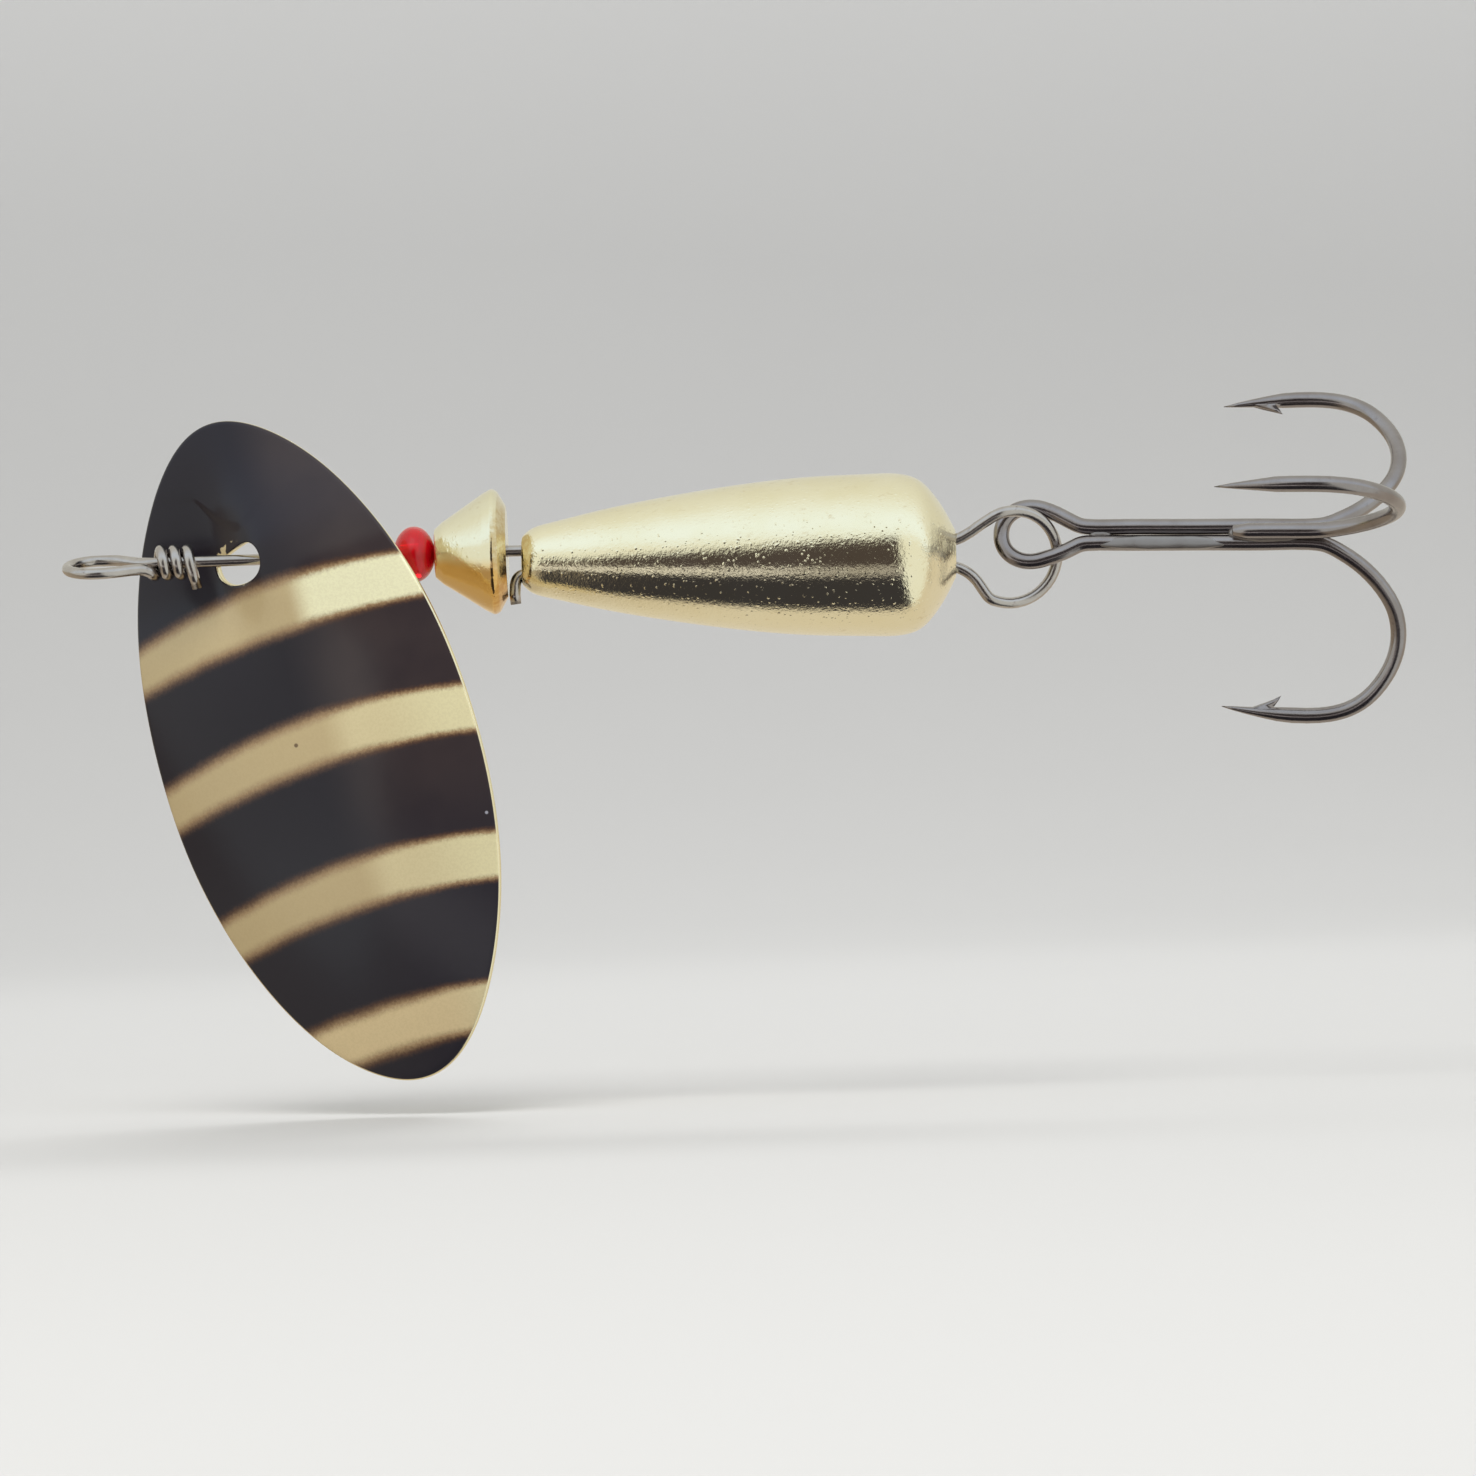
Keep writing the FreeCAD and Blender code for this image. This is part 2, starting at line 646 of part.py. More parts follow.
failed = [obj.Name + " " + ",".join(obj.State) for obj in doc.Objects
          if "Invalid" in obj.State or "Error" in obj.State]
if failed:
    raise RuntimeError("failed objects: " + "; ".join(failed))
for piece in pieces:
    if piece.Shape.isNull() or not piece.Shape.isValid():
        raise RuntimeError(piece.Label + ": shape is null or invalid")
    if not piece.Shape.Solids:
        raise RuntimeError(piece.Label + ": no solid")
for piece in pieces:
    piece.Shape.exportStep("parts/" + piece.Label + ".step")
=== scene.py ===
"""In-line spinner: a bent wire shaft with a banded leaf blade, a red bead, a bell
weight, a tear-drop body and a treble hook.

The shaft runs along +X with its eye round the origin and the treble at the far
end. The blade hangs down (-Z), and its lacquered side faces the camera at -Y.
Shapes are in millimetres and turn to metres where vertices are made; materials,
stage and lights are in metres.
"""
import math
from functools import cached_property

import bmesh
import bpy
import numpy as np
from mathutils import Matrix, Vector


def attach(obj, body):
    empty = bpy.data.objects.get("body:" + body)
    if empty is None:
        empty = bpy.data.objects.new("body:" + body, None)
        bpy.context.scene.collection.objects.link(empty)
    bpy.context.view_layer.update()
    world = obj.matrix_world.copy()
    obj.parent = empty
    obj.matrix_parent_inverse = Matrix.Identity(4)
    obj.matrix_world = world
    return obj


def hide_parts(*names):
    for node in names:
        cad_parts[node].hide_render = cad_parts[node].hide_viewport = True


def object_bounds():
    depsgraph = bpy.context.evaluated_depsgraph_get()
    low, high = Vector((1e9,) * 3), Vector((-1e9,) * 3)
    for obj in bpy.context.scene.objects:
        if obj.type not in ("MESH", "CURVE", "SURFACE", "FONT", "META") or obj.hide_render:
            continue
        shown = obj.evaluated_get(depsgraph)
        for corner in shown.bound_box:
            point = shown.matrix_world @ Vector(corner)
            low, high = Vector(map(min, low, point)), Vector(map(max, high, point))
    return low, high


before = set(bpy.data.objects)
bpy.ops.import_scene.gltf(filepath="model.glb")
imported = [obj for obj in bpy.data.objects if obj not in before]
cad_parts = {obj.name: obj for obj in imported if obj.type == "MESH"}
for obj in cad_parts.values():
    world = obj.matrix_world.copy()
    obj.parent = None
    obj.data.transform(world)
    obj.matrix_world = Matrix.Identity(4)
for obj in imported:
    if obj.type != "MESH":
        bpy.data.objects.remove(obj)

cad_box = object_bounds()
MM = 0.001

# ------------------------------------------------------------ mesh helpers


def fix_normals(mesh, weld=False):
    bm = bmesh.new()
    bm.from_mesh(mesh)
    if weld:
        bmesh.ops.remove_doubles(bm, verts=bm.verts, dist=1e-7)
    bmesh.ops.recalc_face_normals(bm, faces=bm.faces)
    bm.to_mesh(mesh)
    bm.free()


def shade_smooth(mesh):
    mesh.polygons.foreach_set("use_smooth", [True] * len(mesh.polygons))


def link_object(name, data):
    ob = bpy.data.objects.new(name, data)
    bpy.context.scene.collection.objects.link(ob)
    return ob


def make_mesh(name, verts, faces, smooth=True):
    """Welded mesh object from vertices in metres."""
    mesh = bpy.data.meshes.new(name)
    mesh.from_pydata([tuple(v) for v in verts], [], faces)
    mesh.validate()
    mesh.update()
    ob = link_object(name, mesh)
    if smooth:
        shade_smooth(mesh)
    fix_normals(mesh, weld=True)
    return ob


def quads(rows, columns, closed=False):
    """Faces between rings of vertices; closed also joins the last ring to the first."""
    faces = []
    for row in range(rows if closed else rows - 1):
        this, following = row * columns, (row + 1) % rows * columns
        for i in range(columns):
            j = (i + 1) % columns
            faces.append((this + i, this + j, following + j, following + i))
    return faces


def capped_quads(rows, columns):
    """Open quads plus one flat face on each end ring."""
    last = (rows - 1) * columns
    return quads(rows, columns) + [tuple(range(columns - 1, -1, -1)),
                                   tuple(range(last, last + columns))]


def spline(points, per_mm, turn_limit):
    """Natural cubic by chord length, thinned out on straight runs.

    Returns points, unit tangents and lengths along the curve. A point is kept
    when the curve has turned by turn_limit degrees or run on by max_run.
    """
    max_run = 0.9
    knots = np.array(points, float)
    chord = np.r_[0, np.cumsum(np.linalg.norm(np.diff(knots, axis=0), axis=1))]
    count = len(knots)
    gap = np.diff(chord)
    matrix = np.zeros((count, count))
    target = np.zeros((count, knots.shape[1]))
    matrix[0, 0] = matrix[-1, -1] = 1
    for i in range(1, count - 1):
        matrix[i, i - 1:i + 2] = gap[i - 1], 2 * (gap[i - 1] + gap[i]), gap[i]
        target[i] = 6 * ((knots[i + 1] - knots[i]) / gap[i]
                         - (knots[i] - knots[i - 1]) / gap[i - 1])
    second = np.linalg.solve(matrix, target)

    length = np.linspace(0, chord[-1], int(chord[-1] * per_mm) + 2)
    k = np.clip(np.searchsorted(chord, length, side="right") - 1, 0, count - 2)
    ahead = (chord[k + 1] - length)[:, None]
    behind = (length - chord[k])[:, None]
    span = gap[k][:, None]
    curve = (second[k] * ahead ** 3 + second[k + 1] * behind ** 3) / (6 * span) \
        + (knots[k] / span - second[k] * span / 6) * ahead \
        + (knots[k + 1] / span - second[k + 1] * span / 6) * behind

    tangent = np.gradient(curve, axis=0)
    tangent /= np.linalg.norm(tangent, axis=1)[:, None]
    keep = [0]
    for i in range(1, len(curve) - 1):
        cosine = max(-1, min(1, float(tangent[i] @ tangent[keep[-1]])))
        turned = math.degrees(math.acos(cosine))
        if turned >= turn_limit or length[i] - length[keep[-1]] > max_run:
            keep.append(i)
    keep.append(len(curve) - 1)
    return curve[keep], tangent[keep], length[keep]


def tube(name, points, radius, sides, per_mm, turn_limit, cap, radius_at=None):
    """Round wire along the points.

    cap is the depth of the end rounding as a share of the wire's diameter.
    radius_at gives the radius at a length along the wire.
    """
    if radius_at is None:
        def radius_at(_length):
            return radius
    path, tangents, lengths = spline(points, per_mm, turn_limit)
    normal = np.cross(tangents[0], [0.0, 0.0, 1.0])
    if np.linalg.norm(normal) < 0.2:
        normal = np.cross(tangents[0], [1.0, 0.0, 0.0])
    verts = []

    def add_ring(centre, tangent, ring_radius):
        # the last ring's normal is carried along, so the tube doesn't twist
        nonlocal normal
        normal = normal - tangent * float(normal @ tangent)
        normal = normal / np.linalg.norm(normal)
        side = np.cross(tangent, normal)
        for k in range(sides):
            a = math.tau * k / sides
            offset = ring_radius * (math.cos(a) * normal + math.sin(a) * side)
            verts.append((centre + offset) * MM)

    def add_end(index, inward, shares):
        """Rings that narrow towards the middle of an end face; returns their depth."""
        end_radius = radius_at(lengths[index])
        depth = min(cap * 2 * radius, end_radius * 0.8)
        for share in shares:
            rise = math.sin(share * math.pi / 2)
            shift = inward * tangents[index] * (depth * (1 - rise) * 0.6)
            add_ring(path[index] + shift, tangents[index],
                     max(end_radius - depth + depth * rise, end_radius * 0.15))
        return depth

    margin = add_end(0, 1, (0.05, 0.35, 0.7)) * 0.6
    for point, tangent, length in zip(path, tangents, lengths):
        if margin <= length <= lengths[-1] - margin:
            add_ring(point, tangent, radius_at(length))
    add_end(-1, -1, (0.7, 0.35, 0.05))

    rows = len(verts) // sides
    faces = quads(rows, sides)
    first_tip, last_tip, last_ring = len(verts), len(verts) + 1, len(verts) - sides
    verts += [path[0] * MM, path[-1] * MM]
    for k in range(sides):
        j = (k + 1) % sides
        faces.append((first_tip, j, k))
        faces.append((last_tip, last_ring + k, last_ring + j))
    return make_mesh(name, verts, faces)


def lathe(name, profile, x_start, z_start=0.0, tilt=0.0, sides=192):
    """Turn a closed (x, radius) profile about an axis that dips by tilt degrees."""
    cos_tilt, sin_tilt = math.cos(math.radians(tilt)), math.sin(math.radians(tilt))
    verts = []
    for k in range(sides):
        a = math.tau * k / sides
        for x, radius in profile:
            y, z = radius * math.cos(a), radius * math.sin(a)
            verts.append(((x_start + x * cos_tilt + z * sin_tilt) * MM, y * MM,
                          (z_start - x * sin_tilt + z * cos_tilt) * MM))
    return make_mesh(name, verts, quads(sides, len(profile), closed=True))


def round_corners(corners, segments):
    """Closed polygon from (x, y, corner radius) rows; near-straight corners stay."""
    rounded, count = [], len(corners)
    for i in range(count):
        corner = np.array(corners[i][:2], float)
        to_last = np.array(corners[i - 1][:2], float) - corner
        to_next = np.array(corners[(i + 1) % count][:2], float) - corner
        last_length, next_length = np.linalg.norm(to_last), np.linalg.norm(to_next)
        to_last, to_next = to_last / last_length, to_next / next_length
        angle = math.acos(max(-1, min(1, float(to_last @ to_next))))
        if angle > math.pi - 0.02:
            rounded.append(tuple(corner))
            continue
        # the arc takes less than half of either side
        trim = min(corners[i][2] / math.tan(angle / 2), 0.48 * last_length, 0.48 * next_length)
        radius = trim * math.tan(angle / 2)
        middle = (to_last + to_next) / np.linalg.norm(to_last + to_next)
        centre = corner + middle * (radius / math.sin(angle / 2))
        start, end = corner + to_last * trim - centre, corner + to_next * trim - centre
        start_angle, end_angle = math.atan2(start[1], start[0]), math.atan2(end[1], end[0])
        sweep = (end_angle - start_angle + math.pi) % math.tau - math.pi
        for k in range(segments + 1):
            a = start_angle + sweep * k / segments
            rounded.append((centre[0] + radius * math.cos(a), centre[1] + radius * math.sin(a)))
    return rounded


def refine(profile, step):
    """Split long profile runs so that shading stays even."""
    fine = []
    for i in range(len(profile)):
        start, end = np.array(profile[i]), np.array(profile[(i + 1) % len(profile)])
        parts = max(1, int(math.ceil(np.linalg.norm(end - start) / step)))
        for j in range(parts):
            fine.append(tuple(start + (end - start) * j / parts))
    return fine


def fit_piece(ob, material, ride, replaces=None):
    """Give a piece its material, parent it to its ride's empty and hide the part it replaces."""
    ob.data.materials.clear()
    ob.data.materials.append(material)
    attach(ob, ride)
    if replaces:
        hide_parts(replaces)


# ---------------------------------------------------------- shader helpers


class Graph:
    """Chains shader nodes in a material or world; colours are (r, g, b) tuples."""

    def __init__(self, owner):
        owner.use_nodes = True
        self.tree = owner.node_tree
        self.tree.nodes.clear()

    def node(self, kind, inputs=None, **attributes):
        """Add a node, link or set its inputs and return its outputs."""
        node = self.tree.nodes.new(kind)
        for key, value in attributes.items():
            setattr(node, key, value)
        for key, value in (inputs or {}).items():
            if isinstance(value, bpy.types.NodeSocket):
                self.tree.links.new(value, node.inputs[key])
            elif isinstance(value, tuple):
                node.inputs[key].default_value = (*value, 1)
            else:
                node.inputs[key].default_value = value
        return node.outputs

    def math(self, operation, a, b=0.0, c=0.0, clamp=False):
        return self.node("ShaderNodeMath", {0: a, 1: b, 2: c},
                         operation=operation, use_clamp=clamp)[0]

    def add(self, a, b):
        return self.math("ADD", a, b)

    def sub(self, a, b):
        return self.math("SUBTRACT", a, b)

    def mul(self, a, b, clamp=False):
        return self.math("MULTIPLY", a, b, clamp=clamp)

    def mul_add(self, a, factor, plus):
        return self.math("MULTIPLY_ADD", a, factor, plus)

    def distance(self, x, y):
        return self.math("SQRT", self.mul_add(x, x, self.mul(y, y)))

    def step(self, value, off, on):
        """Smooth step: 0 where the value is off, 1 where it is on."""
        return self.node("ShaderNodeMapRange",
                         {"Value": value, "From Min": off, "From Max": on},
                         interpolation_type="SMOOTHSTEP", clamp=True)["Result"]

    def mix(self, factor, first, second, blend="MIX"):
        return self.node("ShaderNodeMix", {0: factor, 6: first, 7: second},
                         data_type="RGBA", blend_type=blend)[2]

    def mix_float(self, factor, first, second):
        return self.node("ShaderNodeMix", {0: factor, 2: first, 3: second},
                         data_type="FLOAT")[0]

    def object_coords(self):
        return self.node("ShaderNodeTexCoord")["Object"]

    @cached_property
    def coords(self):
        """Object coordinates that all the textures of a material share."""
        return self.object_coords()

    def stretched(self, x_scale):
        """Coordinates scaled along X; below 1 the texture draws out."""
        mapping = self.tree.nodes.new("ShaderNodeMapping")
        mapping.inputs["Scale"].default_value = (x_scale, 1.0, 1.0)
        self.tree.links.new(self.coords, mapping.inputs["Vector"])
        return mapping.outputs["Vector"]

    def noise(self, scale, detail, rough, vector=None, distort=0.0):
        return self.node("ShaderNodeTexNoise", {
            "Scale": scale, "Detail": detail, "Roughness": rough,
            "Distortion": distort, "Vector": vector or self.coords})["Fac"]

    def spots(self, scale, edge, pick):
        """Round spots in some cells: edge steps the radius, pick the choice of cells."""
        cells = self.node("ShaderNodeTexVoronoi", {"Scale": scale, "Vector": self.coords})
        return self.mul(self.step(cells["Distance"], *edge),
                        self.step(cells["Color"], *pick), clamp=True)

    def bump(self, height, strength, distance):
        return self.node("ShaderNodeBump", {
            "Strength": strength, "Distance": distance, "Height": height})["Normal"]

    def principled(self, inputs):
        return self.node("ShaderNodeBsdfPrincipled", inputs)[0]

    def surface(self, shader):
        self.node("ShaderNodeOutputMaterial", {0: shader})


def new_material(name):
    material = bpy.data.materials.new(name)
    return material, Graph(material)


def tinted(colour, *factors):
    return tuple(c * factor for c, factor in zip(colour, factors))


# --------------------------------------------------------------- materials


def gold_material(name, base, pit_colour, peel, domes, amber, rim=None):
    """Bright pale-gold plating: orange peel, tiny domes and pits, faint tarnish.

    peel is the bump strength, domes their height, amber the strength of the painted
    reflection that tints faces looking down, and rim the x range over which the painted
    brown reflection of the edge comes on.
    """
    material, net = new_material(name)
    cloud = net.noise(scale=260, detail=4, rough=0.6)
    fine = net.noise(scale=9000, detail=3, rough=0.6)
    orange_peel = net.noise(scale=3900, detail=3, rough=0.62)
    tarnish = net.noise(scale=1500, detail=5, rough=0.7, vector=net.stretched(0.55))
    pits = net.spots(scale=650, edge=(0.11, 0.04), pick=(0.78, 0.84))
    large_domes = net.spots(scale=2300, edge=(0.30, 0.02), pick=(0.60, 0.72))
    small_domes = net.spots(scale=4300, edge=(0.38, 0.05), pick=(0.56, 0.74))

    colour = net.mix(net.step(cloud, off=0.30, on=0.75), base, tinted(base, 0.97, 0.955, 0.90))
    colour = net.mix(net.mul(net.step(tarnish, off=0.60, on=0.72), 0.28), colour,
                     tinted(base, 0.62, 0.45, 0.28))
    colour = net.mix(net.mul(pits, 0.75), colour, pit_colour)
    # painted reflection: faces that look down are tinted amber, standing in for the plating they
    # mirror
    normal = net.node("ShaderNodeNewGeometry")["Normal"]
    normal_z = net.node("ShaderNodeSeparateXYZ", {0: normal})[2]
    warm = net.mul(net.step(normal_z, off=-0.08, on=-0.36), amber)
    colour = net.mix(warm, colour, (1.0, 0.72, 0.38), "MULTIPLY")
    if rim:
        # painted reflection: brown, mottled darkening on the turned edge where it does not face
        # up
        x = net.node("ShaderNodeSeparateXYZ", {0: net.coords})[0]
        brown = net.mul(net.step(x, *rim), net.step(normal_z, off=0.62, on=0.30), clamp=True)
        mottle = net.mix_float(net.step(tarnish, off=0.38, on=0.58), 0.45, 0.95)
        colour = net.mix(net.mul(brown, mottle), colour, (0.74, 0.60, 0.42), "MULTIPLY")

    # relief: peel and grain, raised domes, sunk pits
    height = net.mul_add(orange_peel, 0.27, net.mul(fine, 0.10))
    height = net.add(height, net.mul(large_domes, 0.32 * domes))
    height = net.add(height, net.mul(small_domes, 0.24 * domes))
    height = net.sub(height, net.mul(pits, 0.8))
    net.surface(net.principled({
        "Base Color": colour,
        "Metallic": 1.0,
        "Roughness": net.mul_add(fine, factor=0.08, plus=0.05),
        "Normal": net.bump(height, strength=peel, distance=0.00009),
        "Coat Weight": 0.10,
        "Coat Roughness": 0.06}))
    return material


def steel_material(name, base, rough, scale, spots, bump):
    """Drawn or plated wire: long scratches at the given scale and dark stains."""
    material, net = new_material(name)
    cloud = net.noise(scale=420, detail=4, rough=0.6)
    drawn = net.noise(scale=scale, detail=3, rough=0.6, vector=net.stretched(0.16))
    blot = net.noise(scale=1300, detail=4, rough=0.65)
    colour = net.mix(net.step(cloud, off=0.35, on=0.7), base, tinted(base, 0.86, 0.84, 0.83))
    colour = net.mix(net.mul(net.step(blot, off=0.60, on=0.74), spots), colour,
                     tinted(base, 0.35, 0.27, 0.24))
    height = net.mul_add(drawn, 0.7, net.mul(blot, 0.3))
    net.surface(net.principled({
        "Base Color": colour,
        "Metallic": 1.0,
        "Roughness": net.mul_add(drawn, factor=0.16, plus=rough),
        "Normal": net.bump(height, strength=bump, distance=0.00003)}))
    return material


def bead_material():
    """Glossy, slightly translucent red with a faint swirl."""
    material, net = new_material("red_bead")
    swirl = net.noise(scale=700, detail=3, rough=0.5, distort=0.6)
    ripple = net.noise(scale=1500, detail=2, rough=0.5)
    net.surface(net.principled({
        "Base Color": net.mix(net.step(swirl, off=0.35, on=0.7),
                              (0.56, 0.002, 0.008), (0.64, 0.004, 0.012)),
        "Roughness": 0.10,
        "IOR": 1.50,
        "Specular IOR Level": 0.28,
        "Transmission Weight": 0.55,
        "Coat Weight": 0.15,
        "Coat Roughness": 0.03,
        "Normal": net.bump(ripple, strength=0.10, distance=0.00004)}))
    return material


wire_mat = steel_material("spring_wire", base=(0.515, 0.478, 0.452), rough=0.15,
                          scale=3600, spots=0.50, bump=0.22)
hook_mat = steel_material("dark_nickel", base=(0.335, 0.306, 0.303), rough=0.13,
                          scale=2600, spots=0.22, bump=0.10)
braze_mat = steel_material("braze_filler", base=(0.335, 0.310, 0.300), rough=0.36,
                           scale=2400, spots=0.30, bump=0.30)
body_mat = gold_material("pale_gold", base=(0.920, 0.848, 0.622),
                         pit_colour=(0.10, 0.06, 0.03), peel=0.75, domes=1.0, amber=0.0)
# the bell carries painted reflections: amber on faces that look down, brown on the turned edge
bell_mat = gold_material("pale_gold_turned", base=(0.880, 0.825, 0.620),
                         pit_colour=(0.13, 0.07, 0.03), peel=0.45, domes=0.8, amber=1.0,
                         rim=(0.02460, 0.02474))
bead_mat = bead_material()

# -------------------------------------------------------------- shaft wire
WIRE_RADIUS = 0.355
COIL_RADIUS, COIL_PITCH, COIL_X = 0.772, 0.825, 3.94
EYE_RADIUS, EYE_DROP, EYE_TILT = 1.9, 0.15, 13.5          # tilt in degrees about X
LOOP_CENTRE, LOOP_RADIUS, LOOP_SKEW = (57.11, 0, -1.42), 2.94, 14.0
OUT_SIDE, BACK_SIDE = 0.45, 0.30     # the legs part to -Y and +Y before the rear loop


def coil_point(degrees):
    a = math.radians(degrees)
    return (COIL_X + COIL_PITCH * degrees / 360.0, -COIL_RADIUS * math.sin(a),
            COIL_RADIUS * math.cos(a))


def shaft_path():
    """From the coil's tail through coil, eye, straight shaft and rear loop to the end."""
    tail_x = coil_point(810)[0]
    path = [(tail_x + 0.40, -0.52, -1.66), (tail_x + 0.27, -0.66, -1.10),
            (tail_x + 0.135, -0.75, -0.54)]
    path += [coil_point(degrees) for degrees in range(810, -181, -30)]

    tilt = math.tan(math.radians(EYE_TILT))
    path += [(3.36, -0.62, -0.62), (3.02, -0.86, -0.46), (2.30, -1.12, -0.42),
             (1.30, -1.55, -EYE_DROP - tilt * 1.58)]
    for degrees in (-78, -105, -130, -155, 180, 155, 130, 105, 80):
        a = math.radians(degrees)
        y = EYE_RADIUS * math.sin(a)
        path.append((EYE_RADIUS * math.cos(a), y, -EYE_DROP + tilt * y))
    path += [(1.30, 1.52, -EYE_DROP + tilt * 1.52 + 0.04), (2.10, 0.95, 0.10),
             (2.75, 0.42, 0.03), (3.25, 0.10, 0.0)]

    path += [(x, 0.0, 0.0) for x in (3.75, 4.6, 5.6, 7.5, 10, 13, 16, 19, 22, 25, 27.5)]
    # x, share of the side step, z
    path += [(x, -share * OUT_SIDE, z) for x, share, z in (
        (33.0, 0.1, 0.0), (40.0, 0.3, -0.02), (47.0, 0.6, -0.10),
        (51.0, 0.9, -0.20), (53.65, 1.0, -0.22))]

    skew = math.radians(LOOP_SKEW)
    flat = np.array([math.cos(skew), math.sin(skew), 0])
    rise = np.array([0, -math.sin(skew), math.cos(skew)])
    rise = rise - flat * float(rise @ flat)
    rise /= np.linalg.norm(rise)
    arc = [np.array(LOOP_CENTRE) + LOOP_RADIUS * (math.cos(math.radians(degrees)) * flat
                                                  + math.sin(math.radians(degrees)) * rise)
           for degrees in range(104, -117, -11)]
    path += [(55.05, (-OUT_SIDE + arc[0][1]) / 2, 0.54)]
    path += [tuple(point) for point in arc]
    path += [(55.11, (BACK_SIDE + arc[-1][1]) / 2, -3.17)]

    path += [(x, share * BACK_SIDE, z) for x, share, z in (
        (54.33, 1.0, -2.30), (53.3, 1.0, -1.84), (51.0, 0.9, -1.76), (46.0, 0.6, -1.70),
        (40.0, 0.4, -1.60), (34.0, 0.3, -1.50), (29.5, 0.2, -1.45), (27.4, 0.1, -1.45))]
    path += [(26.72, 0.0, -1.46), (26.28, -0.03, -1.62), (26.06, -0.05, -1.98),
             (26.00, -0.06, -2.42), (25.99, -0.07, -2.88), (26.03, -0.08, -3.34)]
    return path


wire = tube("shaft_wire_form", shaft_path(), WIRE_RADIUS, sides=28, per_mm=16,
            turn_limit=7, cap=0.25)
fit_piece(wire, wire_mat, ride="frame", replaces="shaft_wire")

# ------------------------------------------------------------------- blade
# The blade is drawn flat round its hole as (across, along), with along
# pointing up. depth() bows it in Y and then it is hung on the wire.
HALF_THICK = 0.25
SLANT = 0.42                                    # y lost per mm across
DISH_CENTRE, DISH_RADII = (2.0, -12.7), (26.0, 88.0)      # across, along
RIPPLE, RIPPLE_WIDTH, RIPPLE_FADE = 0.85, 2.5, 3.0        # extra slant by the hole
HANG_X, HANG_Z = 8.874, -0.171
HANG_ANGLE = -(90 - 76.63)

OUTLINE_CENTRE, OUTLINE_HALF = (1.597, -12.613), (10.197, 21.533)
OUTLINE_MEAN = 0.98791
# cosine and sine share of the outline's radius, for 1 to 9 waves per turn
OUTLINE_WAVES = [
    (-0.00249, 0.00231), (0.00228, -0.03951), (0.00176, 0.00152),
    (0.0066, 0.00592), (0.00075, -0.00016), (-0.00253, -0.00255),
    (0.00026, -0.001), (-0.00096, 0.00187), (-0.00041, -0.00038)]

HOLE_HALF = (1.44, 1.31)
HOLE_POWER = 2.25                               # 2 is an ellipse, higher is squarer
FLAT_NORMAL, FLAT_REACH = (-0.298, 0.955), 0.84           # straight upper side of the hole
RIM, HOLE_RIM = 0.22, 0.10                      # width of the rounded edges
RAYS, RINGS = 640, 96

# bent line of the press mark: across, along
CREASE = [(-4.6, 5.1), (-4.14, 5.22), (-1.72, 4.76), (-0.65, 2.94), (0.59, 2.06),
          (1.96, 2.86), (2.6, 3.6)]
crease_across = np.linspace(-4.6, 2.6, 73)
crease_along = np.convolve(
    np.pad(np.interp(crease_across, *zip(*CREASE)), 7, mode="edge"),
    np.hanning(17)[1:-1] / np.hanning(17).sum(), mode="valid")


def depth(across, along):
    (mid_across, mid_along), (radius_across, radius_along) = DISH_CENTRE, DISH_RADII
    bowed = -SLANT * across \
        + ((across - mid_across) ** 2 - mid_across ** 2) / (2 * radius_across) \
        + ((along - mid_along) ** 2 - mid_along ** 2) / (2 * radius_along)
    return bowed - RIPPLE * across / (1 + (across / RIPPLE_WIDTH) ** 2) \
        * np.exp(-along * along / (2 * RIPPLE_FADE ** 2))


def crease(across, along):
    """Shallow press mark below the bent line, faded out with distance."""
    below = np.interp(across, crease_across, crease_along) - along
    edge = np.clip((below + 0.40) / 0.80, 0, 1)
    rise = edge * edge * (3 - 2 * edge)
    return 0.065 * rise * np.exp(-((across + 1.2) / 2.9) ** 2) \
        * np.exp(-(np.maximum(below, 0) / 2.4) ** 2)


def off_surface(across, along, offset):
    """Points off the bowed mid surface along its normal; + is towards +Y."""
    offset = offset + crease(across, along)
    h = 1e-3
    slope_across = (depth(across + h, along) - depth(across - h, along)) / (2 * h)
    slope_along = (depth(across, along + h) - depth(across, along - h)) / (2 * h)
    length = np.sqrt(1 + slope_across * slope_across + slope_along * slope_along)
    return (across - slope_across / length * offset, depth(across, along) + offset / length,
            along - slope_along / length * offset)


def hole_radius(theta):
    wide, high = np.abs(np.cos(theta)) / HOLE_HALF[0], np.abs(np.sin(theta)) / HOLE_HALF[1]
    full = (wide ** HOLE_POWER + high ** HOLE_POWER) ** (-1.0 / HOLE_POWER)
    facing = np.maximum(FLAT_NORMAL[0] * np.cos(theta) + FLAT_NORMAL[1] * np.sin(theta), 1e-3)
    flat = FLAT_REACH / facing
    # a high power blends the two into the nearer one
    return (full ** -9.0 + flat ** -9.0) ** (-1.0 / 9.0)


